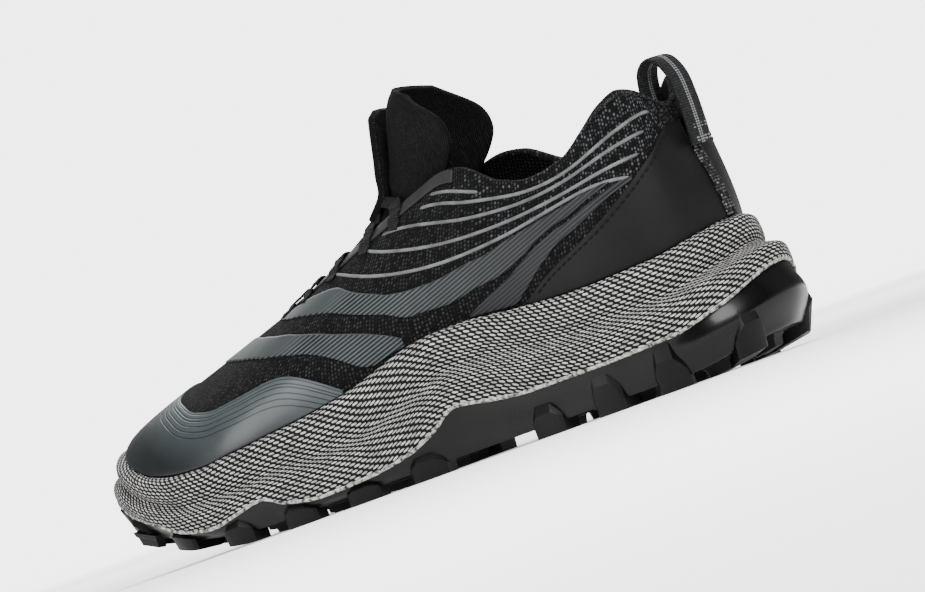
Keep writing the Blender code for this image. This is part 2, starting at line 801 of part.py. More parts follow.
def make_toe_cap():
    start = TOE_CAP[0][0] / 2
    pieces, rows = TOE_CAP_GRID
    return overlay("toe_cap", turn_range(start, 1 - start, pieces), lambda t: OVERLAY_FOOT,
                   lambda t: read(TOE_CAP, TOE_CAP_COLUMNS, "edge", edge(t)[2]), rows, FILM)


def make_counters():
    """Two halves of synthetic leather that meet under the strip at the back seam."""
    last = COUNTER[-1][0] / 2

    def top(t):
        return read(COUNTER, COUNTER_COLUMNS, "edge", edge(t)[2])

    split = COUNTER_SPLIT / 2
    pieces, rows = COUNTER_GRID
    for name, first, second in (("lateral", split, last), ("medial", 1 - last, 1 - split)):
        overlay("heel_counter_" + name, turn_range(first, second, pieces),
                lambda t: OVERLAY_FOOT, top, rows, SYNTHETIC)


def make_throat_binding():
    start = THROAT_START / 2
    pieces, rows = BINDING_GRID
    return overlay("throat_binding", turn_range(start, 1 - start, pieces),
                   lambda t: BINDING_FOOT, lambda t: BINDING_TOP, rows, SYNTHETIC)


def make_insole():
    shell = Shell()

    def reach(s):
        return side_reach("rim", s) - RIM_WALL - KNIT_WALL - 3 * GAP

    low = shell.add(level_ring(reach, lambda s: sole_height("floor", s) + GAP))
    high = shell.add(level_ring(reach, lambda s: sole_height("floor", s) + GAP + INSOLE_THICKNESS))
    shell.bridge(low, high)
    shell.floor(low)
    shell.floor(high, INSOLE_DISH)
    return make_object("insole", shell, SOCK_LINER)


def tongue_row(around):
    """One section of the tongue's front face where it lies under the throat's edges."""
    points = []
    sink = KNIT_WALL + TONGUE_GAP
    for level in TONGUE_EDGE:
        points.append(off_upper(around / 2, level, -sink - wall_extra(around, level)))
    right = []
    for level in TONGUE_EDGE[::-1]:
        right.append(off_upper(1 - around / 2, level, -sink - wall_extra(around, level)))
    a, b = points[-1], right[0]
    up = np.cross(b - a, upper_point(0.5, 0.9) - upper_point(0.5, 1.0))
    up /= np.linalg.norm(up)
    if up[2] < 0:
        up = -up
    crown = np.linalg.norm(b - a) * read(TONGUE_CROWN, CROWN_COLUMNS, "crown", around)
    up[0] += read(TONGUE_CROWN, CROWN_COLUMNS, "lean", around)
    middle = [a + (b - a) * share + up * crown * 4 * share * (1 - share)
              for share in (0.25, 0.5, 0.75)]
    return points + middle + right


def wall_extra(around, level):
    return wall_at(around, level) - KNIT_WALL


def tongue_top_row(rise):
    """One section of the tongue above the throat: an arch that wraps back round the ankle."""
    values = {name: read(TONGUE_TOP, TONGUE_COLUMNS, name, rise) for name in TONGUE_COLUMNS[1:]}
    front = np.array([values["along"] * SOLE_LENGTH, 0, values["height"] * COLLAR_HEIGHT])
    wing = np.array([values["wing_along"] * SOLE_LENGTH, values["wing"] * BALL_WIDTH,
                     values["wing_height"] * COLLAR_HEIGHT])
    points = []
    for k in range(TONGUE_ACROSS):
        angle = math.pi * (0.5 - k / (TONGUE_ACROSS - 1))
        side = math.sin(angle)
        back = 1 - math.cos(angle)
        points.append(np.array([front[0] + (wing[0] - front[0]) * back, wing[1] * side,
                                front[2] + (wing[2] - front[2]) * back]))
    return points


def make_tongue():
    """Curved shield under the throat that stands up above the collar."""
    rows = [tongue_row(around) for around in TONGUE_FOOT + LACE_STATIONS[::-1]]
    rows += [tongue_top_row(rise) for rise in TONGUE_RISES]
    grid = np.array(rows)
    down = np.gradient(grid, axis=0)
    across = np.gradient(grid, axis=1)
    normal = np.cross(down, across)
    normal /= np.linalg.norm(normal, axis=2)[:, :, None]
    middle = normal[:, TONGUE_ACROSS // 2, :]
    flip = np.where(middle[:, 0] + middle[:, 2] > 0, 1.0, -1.0)
    normal *= flip[:, None, None]
    shell = Shell()
    shell.slab(grid, grid - normal * TONGUE_THICKNESS)
    return make_object("tongue", shell, KNIT)


def strap(shell, path, widths, directions, thickness):
    """A flat strap along a path, with its width along given directions."""
    path = np.array(path)
    tangent = np.gradient(path, axis=0)
    rings = []
    for point, along, wide, width in zip(path, tangent, directions, widths):
        wide = np.array(wide, dtype=float)
        along = along / np.linalg.norm(along)
        wide = wide - along * wide.dot(along)
        wide /= np.linalg.norm(wide)
        face = np.cross(along, wide)
        rings.append([point + wide * width / 2 * a + face * thickness / 2 * b
                      for a, b in ((-1, -1), (1, -1), (1, 1), (-1, 1))])
    added = [shell.add(ring) for ring in rings]
    for first, second in zip(added, added[1:]):
        shell.bridge(first, second)
    shell.faces.append(tuple(added[0]))
    shell.faces.append(tuple(added[-1]))


def on_tongue(around, column, lift):
    """A point above the tongue's front face, between its lateral (2) and medial (6) throat edges."""
    step = 0.01
    row, above = tongue_row(around), tongue_row(around - step)
    k = int(column)
    share = column - k
    here = row[k] + (row[k + 1] - row[k]) * share
    up = above[k] + (above[k + 1] - above[k]) * share - here
    normal = np.cross(up, row[k + 1] - row[k])
    normal /= np.linalg.norm(normal)
    if normal[2] < 0:
        normal = -normal
    return here + normal * lift, normal


def lace_run(shell, first, last):
    """A flat lace from one eyelet (around, column) to another, over the tongue."""
    path = []
    directions = []
    for k in range(LACE_PIECES + 1):
        share = k / LACE_PIECES
        around = first[0] + (last[0] - first[0]) * share
        column = first[1] + (last[1] - first[1]) * share
        point, normal = on_tongue(around, column, LACE_GAP + LACE_THICKNESS / 2)
        path.append(point)
        directions.append(normal)
    along = np.gradient(np.array(path), axis=0)
    widths = [np.cross(normal, way) for normal, way in zip(directions, along)]
    strap(shell, path, [LACE_WIDTH] * len(path), widths, LACE_THICKNESS)


def make_lace():
    """Flat lace: a bar across the foot of the throat and crossings up to the top eyelets."""
    lateral, medial = 2.0 + EYELET_INSET, 6.0 - EYELET_INSET
    lowest = LACE_STATIONS[-1]
    bar = Shell()
    lace_run(bar, (lowest, lateral), (lowest, medial))
    lace = make_object("lace", bar, WEBBING)
    crossings = Shell()
    for high, low in zip(LACE_STATIONS, LACE_STATIONS[1:]):
        lace_run(crossings, (low, lateral), (high, medial))
        lace_run(crossings, (low, medial), (high, lateral))
    join_by_union(lace, crossings, "lace guide")
    return lace


def make_lace_loops():
    """Short webbing tabs sewn on the throat binding, each over the lace where it turns."""
    lift = 2 * CURVED_GAP + OVERLAY_THICKNESS + LOOP_WEBBING_THICKNESS / 2
    over_lace = LACE_GAP + LACE_THICKNESS + CURVED_GAP + LOOP_WEBBING_THICKNESS / 2
    for side, name in ((0, "lateral"), (1, "medial")):
        for number, around in enumerate(LACE_STATIONS, 1):
            turn = around / 2 if side == 0 else 1 - around / 2
            column = 2.0 + EYELET_INSET if side == 0 else 6.0 - EYELET_INSET
            path = [off_upper(turn, level, lift) for level in LOOP_LEVELS]
            path.append(off_upper(turn, 1.0, lift + over_lace / 3))
            path.append(on_tongue(around, column, over_lace)[0])
            way = upper_point(turn + 0.005, 1.0) - upper_point(turn - 0.005, 1.0)
            shell = Shell()
            strap(shell, path, [LOOP_WEBBING_WIDTH] * len(path), [way] * len(path),
                  LOOP_WEBBING_THICKNESS)
            make_object("lace_loop_%s_%d" % (name, number), shell, WEBBING)


def make_pull_tab():
    """Webbing loop at the heel, sewn outside over its strip and inside the collar."""
    half = PULL_TAB_THICKNESS / 2
    foot_level = STRIP_TOP - 0.02
    lift = 3 * CURVED_GAP + OVERLAY_THICKNESS + BACK_STRIP_THICKNESS + half
    foot = off_upper(0.0, foot_level, lift)
    corner = off_upper(turn_for(PULL_TAB_WIDTH / 2), 1.0, -wall_at(0.0, 1.0))
    across = corner[0] + CURVED_GAP + half - foot[0]
    path = []
    for along, height in PULL_TAB:
        path.append(foot + np.array([along * across, 0.0, height * PULL_TAB_HEIGHT]))
    shell = Shell()
    strap(shell, path, [PULL_TAB_WIDTH] * len(path), [(0, 1, 0)] * len(path), PULL_TAB_THICKNESS)
    return make_object("pull_tab", shell, WEBBING, 60.0)


def make_back_strip():
    """Narrow webbing over the seam between the two counter halves."""
    half = BACK_STRIP_WIDTH / 2
    front = []
    back = []
    lift = OVERLAY_THICKNESS + 2 * CURVED_GAP
    for k in range(STRIP_ROWS + 1):
        level = OVERLAY_FOOT + (STRIP_TOP - OVERLAY_FOOT) * k / STRIP_ROWS
        here = upper_point(0.0, level)
        for group, distance in ((back, lift), (front, lift + BACK_STRIP_THICKNESS)):
            row = []
            for share in (-1, -0.5, 0, 0.5, 1):
                row.append(off_upper(turn_for(share * half), level, distance))
            group.append(row)
    shell = Shell()
    shell.slab(front, back)
    return make_object("back_strip", shell, WEBBING)


def remove_old_objects():
    for obj in list(bpy.data.objects):
        bpy.data.objects.remove(obj)


def settle_on_origin():
    """Moves the pieces so that the origin is under the middle of the part's box."""
    bpy.context.view_layer.update()
    graph = bpy.context.evaluated_depsgraph_get()
    corners = []
    pieces = [obj for obj in bpy.data.objects if obj.type == "MESH"]
    for obj in pieces:
        if obj.hide_render:
            continue
        mesh = obj.evaluated_get(graph).to_mesh()
        coords = np.array([v.co[:] for v in mesh.vertices])
        corners.append(coords.min(0))
        corners.append(coords.max(0))
        obj.evaluated_get(graph).to_mesh_clear()
    corners = np.array(corners)
    middle = (corners.min(0) + corners.max(0)) / 2
    for obj in pieces:
        obj.location = (-middle[0], -middle[1], -corners[:, 2].min())


remove_old_objects()
make_outsole()
make_midsole()
make_upper()
make_toe_cap()
make_counters()
make_throat_binding()
make_insole()
make_tongue()
make_lace()
make_lace_loops()
make_pull_tab()
make_back_strip()
settle_on_origin()
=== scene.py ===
import math

import bmesh
import bpy
import numpy as np
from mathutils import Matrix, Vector


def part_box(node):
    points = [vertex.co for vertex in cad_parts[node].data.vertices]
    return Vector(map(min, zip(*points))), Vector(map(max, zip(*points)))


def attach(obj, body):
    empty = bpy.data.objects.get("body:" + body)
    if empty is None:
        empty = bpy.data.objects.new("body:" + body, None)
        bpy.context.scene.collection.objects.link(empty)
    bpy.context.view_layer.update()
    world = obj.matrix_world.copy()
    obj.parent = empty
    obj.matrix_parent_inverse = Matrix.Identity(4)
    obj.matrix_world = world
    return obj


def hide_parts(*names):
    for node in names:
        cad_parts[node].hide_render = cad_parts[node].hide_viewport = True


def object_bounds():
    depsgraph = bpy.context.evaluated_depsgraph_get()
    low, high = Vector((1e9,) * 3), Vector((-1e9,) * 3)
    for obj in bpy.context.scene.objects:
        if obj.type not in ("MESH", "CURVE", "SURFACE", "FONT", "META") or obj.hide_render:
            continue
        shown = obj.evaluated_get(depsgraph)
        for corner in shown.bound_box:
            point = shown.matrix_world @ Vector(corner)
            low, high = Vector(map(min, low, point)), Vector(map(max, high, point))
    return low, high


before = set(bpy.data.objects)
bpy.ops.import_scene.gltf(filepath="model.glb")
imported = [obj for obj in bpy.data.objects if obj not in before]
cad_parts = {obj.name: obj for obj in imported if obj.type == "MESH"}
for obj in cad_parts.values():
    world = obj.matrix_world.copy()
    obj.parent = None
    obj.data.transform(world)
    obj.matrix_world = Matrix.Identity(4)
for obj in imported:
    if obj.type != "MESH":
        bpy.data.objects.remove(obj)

CAD_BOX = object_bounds()

# ---------------------------------------------------------------------------------------------
# Outsole. Black rubber moulded in one piece: a tray that climbs the side of the foam, with
# chevron lugs under it and wedge lugs round its edge. Fresh from the mould it is satin, and
# polished at the heel corner.
# Lengths here are millimetres: u from heel to toe, w to the wearer's left, z up.
MM = 0.001
SOLE_LENGTH = 300.0
BALL_WIDTH = 114.0
HEEL_STACK = 32.0
RIM_HEIGHT = 50.0
LUG_HEIGHT = 4.0
LUG_SIZE = (13.0, 10.0)
LUG_DRAFT = 0.8
TRAY_WALL = 3.0
ROUND_THE_SOLE = 384
SPLINE_DETAIL = 40

# Plan outline: station as a share of the length, half widths as shares of the ball width
OUTLINE = (
    (0.000, 0.000, 0.000),
    (0.020, 0.175, 0.175),
    (0.050, 0.281, 0.281),
    (0.100, 0.351, 0.351),
    (0.170, 0.390, 0.386),
    (0.250, 0.386, 0.360),
    (0.350, 0.377, 0.312),
    (0.450, 0.395, 0.296),
    (0.550, 0.447, 0.340),
    (0.650, 0.491, 0.430),
    (0.700, 0.505, 0.470),
    (0.750, 0.500, 0.489),
    (0.800, 0.474, 0.488),
    (0.860, 0.405, 0.460),
    (0.915, 0.310, 0.398),
    (0.960, 0.190, 0.300),
    (0.988, 0.060, 0.190),
    (1.000, -0.055, 0.055),
)
# Heights along the sole, as shares of the rim's height; the cup's floor as a share of the stack
SOLE_HEIGHTS = {
    "columns": ("station", "tip", "low", "groove", "top", "floor"),
    "rows": (
        (0.000, 0.10, 0.64, 0.81, 1.06, 1.00),
        (0.040, 0.05, 0.48, 0.72, 1.01, 1.00),
        (0.100, 0.00, 0.38, 0.66, 0.96, 1.00),
        (0.200, 0.00, 0.36, 0.64, 0.94, 1.00),
        (0.300, 0.00, 0.36, 0.67, 0.97, 0.98),
        (0.355, 0.00, 0.39, 0.72, 1.00, 0.97),
        (0.410, 0.00, 0.44, 0.71, 1.01, 0.95),
        (0.450, 0.00, 0.31, 0.64, 0.98, 0.93),
        (0.490, 0.00, 0.22, 0.56, 0.91, 0.91),
        (0.540, 0.00, 0.17, 0.48, 0.82, 0.88),
        (0.610, 0.00, 0.15, 0.45, 0.75, 0.83),
        (0.660, 0.00, 0.20, 0.45, 0.72, 0.80),
        (0.690, 0.00, 0.28, 0.43, 0.70, 0.78),
        (0.730, 0.01, 0.24, 0.41, 0.68, 0.78),
        (0.770, 0.04, 0.20, 0.40, 0.66, 0.78),
        (0.820, 0.09, 0.24, 0.42, 0.67, 0.81),
        (0.880, 0.18, 0.38, 0.52, 0.72, 0.88),
        (0.930, 0.28, 0.50, 0.63, 0.81, 0.98),
        (0.970, 0.40, 0.62, 0.76, 0.91, 1.09),
        (1.000, 0.50, 0.70, 0.84, 1.00, 1.19),
    ),
}
# How far the side stands out from the outline, as shares of the ball width
SOLE_SIDE = {
    "columns": ("station", "bottom", "belly", "lip", "rim"),
    "rows": (
        (0.00, -0.018, 0.040, 0.004, -0.061),
        (0.04, -0.035, 0.018, 0.004, -0.048),
        (0.10, -0.044, -0.009, -0.004, -0.031),
        (0.20, -0.053, -0.035, -0.009, -0.026),
        (0.35, -0.061, -0.048, -0.009, -0.026),
        (0.42, -0.066, -0.048, -0.009, -0.026),
        (0.49, -0.053, -0.031, -0.009, -0.026),
        (0.55, -0.044, -0.022, -0.009, -0.026),
        (0.82, -0.040, -0.018, -0.009, -0.026),
        (0.93, -0.035, -0.013, -0.009, -0.031),
        (1.00, -0.035, -0.009, -0.004, -0.040),
    ),
}
LOW_BAND_SWELL = 1.8

# Lugs: station, place across as a share of the ball width, +1 point forward, size
FOREFOOT_ROWS = ((-0.255, 0.560, 4), (-0.080, 0.515, 5), (0.105, 0.565, 4), (0.270, 0.515, 5))
FOREFOOT_PITCH = 0.098
TOE_AND_HEEL_LUGS = (
    (0.925, 0.190, 1, 0.85),
    (0.955, 0.010, 1, 0.90),
    (0.930, -0.190, 1, 0.95),
    (0.905, -0.010, 1, 0.80),
    (0.085, -0.165, -1, 0.95),
    (0.085, 0.160, -1, 0.95),
    (0.050, 0.000, -1, 0.90),
    (0.155, 0.000, -1, 1.00),
    (0.205, -0.150, -1, 1.05),
    (0.195, 0.170, -1, 1.05),
    (0.270, 0.030, -1, 1.05),
    (0.320, -0.140, -1, 1.00),
    (0.310, 0.175, -1, 1.00),
)
# A lug's tip, point forward, as shares of its half width and half length
CHEVRON = ((-1.0, -0.65), (-0.6, -1.0), (0.0, -0.35), (0.6, -1.0), (1.0, -0.65), (0.55, 1.0),
           (-0.55, 1.0))
# Up such a lug: shares of its draft, and of its height
CHEVRON_CUTS = ((0.0, 0.0), (0.7, 0.72), (1.6, 0.86), (2.2, 1.25))
# Lugs at the edge, as shares of the way round each half, with the height that they climb to
LATERAL_EDGE_LUGS = ((0.070, 13.0), (0.165, 14.0), (0.245, 13.0), (0.325, 8.0), (0.470, 5.5),
                     (0.545, 5.0), (0.620, 6.5), (0.700, 6.0), (0.785, 6.0), (0.870, 7.0),
                     (0.950, 7.5))
MEDIAL_EDGE_LUGS = ((0.070, 13.0), (0.165, 14.0), (0.245, 12.0), (0.325, 8.0), (0.500, 5.5),
                    (0.575, 5.0), (0.650, 6.0), (0.725, 6.0), (0.805, 6.0), (0.890, 7.0))
# Cuts along such a lug, as shares of its length, with how full and how high it is there
EDGE_LUG_CUTS = ((-0.5, 0.45, 0.30), (-0.42, 0.80, 0.55), (-0.24, 1.0, 1.0), (0.0, 1.0, 1.0),
                 (0.24, 1.0, 1.0), (0.42, 0.80, 0.55), (0.5, 0.45, 0.30))
EDGE_LUG = {"length": 13.5, "depth": 10.0, "step": 2.6, "shoulder": 0.55}

MIDDLE_X = (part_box("pull_tab")[0].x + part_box("pull_tab")[1].x) / 2
HEEL_OVERHANG = LOW_BAND_SWELL + SOLE_SIDE["rows"][0][3] * BALL_WIDTH
HEEL_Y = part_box("midsole")[1].y - HEEL_OVERHANG * MM


def curve(start, end, leave, reach, t):
    """The smooth way from start to end, with its slopes where it leaves and where it arrives."""
    return ((1 + 2 * t) * (1 - t) ** 2 * start + t * (1 - t) ** 2 * leave
            + t * t * (3 - 2 * t) * end - t * t * (1 - t) * reach)


def read(rows, column, place):
    """Values of a table's column on a smooth curve that adds no waves between the rows."""
    rows = np.array(rows, dtype=float)
    x, y = rows[:, 0], rows[:, column]
    step = np.diff(x)
    slope = np.diff(y) / step
    same_way = slope[:-1] * slope[1:] > 0
    both = np.where(same_way, slope[:-1] + slope[1:], 1.0)
    tangent = np.concatenate([slope[:1], np.where(same_way, 2 * slope[:-1] * slope[1:] / both, 0.0),
                              slope[-1:]])
    place = np.clip(place, x[0], x[-1])
    k = np.clip(np.searchsorted(x, place) - 1, 0, len(step) - 1)
    return curve(y[k], y[k + 1], step[k] * tangent[k], step[k] * tangent[k + 1],
                 (place - x[k]) / step[k])


def unit(vectors):
    return vectors / np.linalg.norm(vectors, axis=-1, keepdims=True)


def length_along(path):
    """Millimetres gone at each point of a path."""
    return np.concatenate([[0], np.cumsum(np.linalg.norm(np.diff(path, axis=0), axis=1))])


def plan_outline():
    """The closed outline from the heel round the lateral side: turns, points and normals."""
    rows = np.array(OUTLINE)
    lateral = np.stack([rows[:, 0] * SOLE_LENGTH, rows[:, 1] * BALL_WIDTH], 1)
    medial = np.stack([rows[:, 0] * SOLE_LENGTH, -rows[:, 2] * BALL_WIDTH], 1)
    corners = np.concatenate([lateral, medial[-2:0:-1]])
    dense = []
    for k in range(len(corners)):
        a, b, c, d = (corners[(k + j) % len(corners)] for j in (-1, 0, 1, 2))
        ab, bc, cd = (math.sqrt(np.linalg.norm(q - p)) for p, q in ((a, b), (b, c), (c, d)))
        leave = bc * ((b - a) / ab - (c - a) / (ab + bc)) + (c - b)
        reach = bc * ((d - c) / cd - (d - b) / (bc + cd)) + (c - b)
        dense += [curve(b, c, leave, reach, t) for t in np.arange(SPLINE_DETAIL) / SPLINE_DETAIL]
    dense = np.array(dense + dense[:1])
    length = length_along(dense)
    along = unit(np.roll(dense[:-1], -1, 0) - np.roll(dense[:-1], 1, 0))
    out = np.stack([-along[:, 1], along[:, 0]], 1)
    out = np.concatenate([out, out[:1]])
    toe = (len(rows) - 1) * SPLINE_DETAIL
    turn = np.where(np.arange(len(dense)) <= toe, length / length[toe] / 2,
                    0.5 + (length - length[toe]) / (length[-1] - length[toe]) / 2)
    return turn, dense, out, length[-1]


OUTLINE_TURN, OUTLINE_POINT, OUTLINE_NORMAL, PERIMETER = plan_outline()


def outline_at(turn):
    """Plan points and outward directions for turns from 0 at the heel, round to 1."""
    turn = np.mod(turn, 1.0)
    point = [np.interp(turn, OUTLINE_TURN, OUTLINE_POINT[:, k]) for k in (0, 1)]
    normal = [np.interp(turn, OUTLINE_TURN, OUTLINE_NORMAL[:, k]) for k in (0, 1)]
    return np.stack(point, -1), unit(np.stack(normal, -1))


def station(turn):
    return np.clip(outline_at(turn)[0][..., 0] / SOLE_LENGTH, 0, 1)


def height_of(name, place):
    share = read(SOLE_HEIGHTS["rows"], SOLE_HEIGHTS["columns"].index(name), place)
    return share * (HEEL_STACK if name == "floor" else RIM_HEIGHT)


def reach_of(name, place):
    return read(SOLE_SIDE["rows"], SOLE_SIDE["columns"].index(name), place) * BALL_WIDTH


def underside(place):
    """Height of the rubber sheet's underside, a lug above the lug tips."""
    return height_of("tip", place) + LUG_HEIGHT


def stand_off(turn, reach, height):
    """Points that stand off the outline by a reach, at a height or on a level."""
    point, normal = outline_at(turn)
    plan = point + normal * np.asarray(reach)[..., None]
    if callable(height):
        height = height(np.clip(plan[..., 0] / SOLE_LENGTH, 0, 1))
    return np.concatenate([plan, np.broadcast_to(height, plan.shape[:-1])[..., None]], -1)


def smoothed(rows, pieces):
    """Rows of points joined by a smooth curve through them, with pieces between each two."""
    rows = np.asarray(rows, dtype=float)
    before = np.concatenate([2 * rows[:1] - rows[1:2], rows[:-1]])
    after = np.concatenate([rows[1:], 2 * rows[-1:] - rows[-2:-1]])
    tangent = (after - before) / 2
    out = [curve(rows[k], rows[k + 1], tangent[k], tangent[k + 1], t)
           for k in range(len(rows) - 1) for t in np.arange(pieces) / pieces]
    return np.array(out + [rows[-1]])


def put_in_scene(name, data):
    thing = bpy.data.objects.new(name, data)
    bpy.context.scene.collection.objects.link(thing)
    return thing


def make_piece(name, grids, material, crease, nodes):
    """A piece from grids of points; each grid is (points, texture places, closed round)."""
    verts, faces, places = [], [], []
    for points, texture, closed in grids:
        start = len(verts)
        rows, columns = points.shape[:2]
        flat = points.reshape(-1, 3)
        verts += [(w * MM + MIDDLE_X, HEEL_Y - u * MM, z * MM) for u, w, z in flat]
        for j in range(rows - 1):
            for k in range(columns if closed else columns - 1):
                n = (k + 1) % columns
                faces.append((start + j * columns + k, start + j * columns + n,
                              start + (j + 1) * columns + n, start + (j + 1) * columns + k))
                places += [texture[j, k], texture[j, k + 1], texture[j + 1, k + 1],
                           texture[j + 1, k]]
    mesh = bpy.data.meshes.new(name)
    mesh.from_pydata(verts, [], faces)
    layer = mesh.uv_layers.new(name="surface")
    layer.data.foreach_set("uv", np.array(places, dtype=np.float32).ravel())
    work = bmesh.new()
    work.from_mesh(mesh)
    bmesh.ops.remove_doubles(work, verts=work.verts, dist=2e-6)
    bmesh.ops.dissolve_degenerate(work, edges=work.edges, dist=1e-6)
    bmesh.ops.recalc_face_normals(work, faces=work.faces)
    work.to_mesh(mesh)
    work.free()
    mesh.shade_smooth()
    mesh.set_sharp_from_angle(angle=math.radians(crease))
    mesh.materials.append(material)
    piece = put_in_scene(name, mesh)
    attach(piece, "root")
    if nodes:
        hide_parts(*nodes)
    return piece


def up_columns(points):
    """Millimetres gone up each column of a grid."""
    up = np.linalg.norm(np.diff(points, axis=0), axis=2)
    return np.concatenate([np.zeros((1, points.shape[1])), np.cumsum(up, 0)], 0)


def plain_texture(points):
    """Texture places in millimetres along the rows and up the columns of a grid."""
    return np.stack([up_columns(points.transpose(1, 0, 2)).T, up_columns(points)], -1)


def round_texture(points, repeats):
    """Texture places for a closed grid: repeats of the pattern round it, millimetres up it."""
    y = up_columns(points)
    y = np.concatenate([y, y[:, :1]], 1)
    return np.stack([np.broadcast_to(np.linspace(0, repeats, y.shape[1]), y.shape), y], -1)


def linear(colour):
    """An sRGB hex colour as linear values."""
    channels = [((colour >> shift) & 255) / 255 for shift in (16, 8, 0)]
    return (*(c / 12.92 if c <= 0.04045 else ((c + 0.055) / 1.055) ** 2.4 for c in channels), 1.0)


def finish(name, colour, roughness, **settings):
    """A material with its shader's own values set; returns it, its tree and its shader."""
    material = bpy.data.materials.new(name)
    material.use_nodes = True
    shader = material.node_tree.nodes["Principled BSDF"]
    shader.inputs["Base Color"].default_value = linear(colour)
    shader.inputs["Roughness"].default_value = roughness
    for socket, value in settings.items():
        shader.inputs[socket.replace("_", " ")].default_value = value
    return material, material.node_tree, shader


def add(tree, kind, links=(), out=0, **settings):
    """Adds a node of a kind, with its operation where it has one, and its settings. The links give
    its inputs, in their order or by their names, a number, a hex colour or a node's output."""
    kind, _, operation = kind.partition(" ")
    node = tree.nodes.new("ShaderNode" + kind)
    if operation:
        node.operation = operation.upper()
    for name, value in settings.items():
        setattr(node, name, value)
    for socket, value in links.items() if isinstance(links, dict) else enumerate(links):
        entry = node.inputs[socket]
        if isinstance(value, bpy.types.NodeSocket):
            tree.links.new(value, entry)
        else:
            entry.default_value = linear(value) if entry.type == "RGBA" else value
    return node.outputs[out]


def texture_ways(tree):
    """The texture places of a piece's surface, and their two parts: across it, and along it."""
    surface = add(tree, "UVMap", uv_map="surface")
    return surface, *(add(tree, "SeparateXYZ", [surface], way) for way in ("X", "Y"))


def patches_of(tree, size, detail):
    """Soft patches all through a piece, about a size in millimetres."""
    place = add(tree, "TexCoord", out="Object")
    return add(tree, "TexNoise", {"Vector": place, "Scale": 1 / (size * MM), "Detail": detail})


def off_line(tree, value, middle):
    """How far a value lies from a middle, to either side."""
    off = add(tree, "Math subtract", [value, middle])
    return add(tree, "Math absolute", [off])


def moulded_rubber(name, dull, bright, gloss, scored=()):
    """Carbon-black rubber: a satin or polished skin, fine mould grain, dusty patches, flex cuts
    darkened with painted shade.
    """
    material, tree, shader = finish(name, 0x090909, dull, IOR=1.52, Specular_IOR_Level=0.13,
                                    Coat_Weight=gloss, Coat_Roughness=0.16)
    grain = patches_of(tree, 0.9, 3.0)
    patches = patches_of(tree, 22, 4.0)
    rough = add(tree, "MapRange", [patches, 0.35, 0.65, bright, dull])
    tree.links.new(rough, shader.inputs["Roughness"])
    dusty = add(tree, "MapRange", [patches, 0.4, 0.7])
    colour = add(tree, "MixRGB", [dusty, 0x040404, 0x0B0B0C])
    bump = add(tree, "Bump", {"Height": grain, "Strength": 0.12, "Distance": 0.05 * MM})
    along = texture_ways(tree)[1]
    for near in scored:
        cut = add(tree, "MapRange", [off_line(tree, along, near), 0.25, 0.6])
        # Painted shade: the flex cut is coloured near black for the shade that falls in the groove.
        colour = add(tree, "MixRGB", [cut, 0x010101, colour])
        bump = add(tree, "Bump", {"Height": cut, "Strength": 1.0, "Distance": 0.8 * MM,
                                  "Normal": bump})
    tree.links.new(colour, shader.inputs["Base Color"])
    tree.links.new(bump, shader.inputs["Normal"])
    return material


# Cuts across the sheet, as percents of its width; the recess under the middle, in millimetres
FLEX_CUTS = (22.0, 43.0, 76.0)
RECESS = {"along": (104.0, 152.0), "across": (-12.0, 4.0), "depth": 1.0, "edge": 1.6}
SATIN_RUBBER = moulded_rubber("satin moulded rubber", 0.55, 0.4, 0.02)
POLISHED_RUBBER = moulded_rubber("polished moulded rubber", 0.42, 0.26, 0.17, FLEX_CUTS)

TURNS = np.arange(ROUND_THE_SOLE) / ROUND_THE_SOLE
STATIONS = station(TURNS)


def across_floor(ring, columns):
    """A grid that fills a closed ring with rungs from its lateral to its medial half."""
    half = len(ring) // 2
    lateral = ring[:half + 1]
    medial = np.concatenate([ring[:1], ring[:half - 1:-1]])
    share = np.linspace(0, 1, columns)[None, :, None]
    return lateral[:, None, :] * (1 - share) + medial[:, None, :] * share


def outsole_tray():
    low, foot = height_of("low", STATIONS), underside(STATIONS)
    bottom = stand_off(TURNS, reach_of("bottom", STATIONS), underside)
    belly = stand_off(TURNS, reach_of("belly", STATIONS), (low + foot) / 2)
    lip = stand_off(TURNS, reach_of("lip", STATIONS), low)
    corner = bottom + (belly - bottom) * 0.12
    corner[:, 2] = bottom[:, 2] + 0.5
    side = smoothed([corner, belly, lip], 9)
    ledge = stand_off(TURNS, reach_of("lip", STATIONS) - TRAY_WALL, low)
    edge = np.concatenate([bottom[None], side, ledge[None]])
    share = np.linspace(0, 1, 65)
    floor = across_floor(bottom, len(share))
    floor[..., 2] += 0.35 * np.sqrt(np.sin(math.pi * share).clip(0))[None, :]
    inside = [np.minimum(floor[..., k] - RECESS[way][0], RECESS[way][1] - floor[..., k])
              for k, way in enumerate(("along", "across"))]
    floor[..., 2] += RECESS["depth"] * np.clip(np.minimum(*inside) / RECESS["edge"], 0, 1)
    cuts = np.stack(np.broadcast_arrays(100 * share[None, :], floor[..., 0]), -1)
    return [(edge, round_texture(edge, 1.0), True), (floor, cuts, False)]


make_piece("outsole_tray", outsole_tray(), POLISHED_RUBBER, 35.0, ("outsole",))


def end_caps(rings):
    """Fans that close the two ends of a tube of rings."""
    for ring in (rings[0], rings[-1]):
        fan = np.stack([np.broadcast_to(ring.mean(0), ring.shape), ring])
        yield fan, round_texture(fan, 1.0), True


def block(rings):
    rings = np.array(rings)
    return [(rings, round_texture(rings, 1.0), True), *end_caps(rings)]


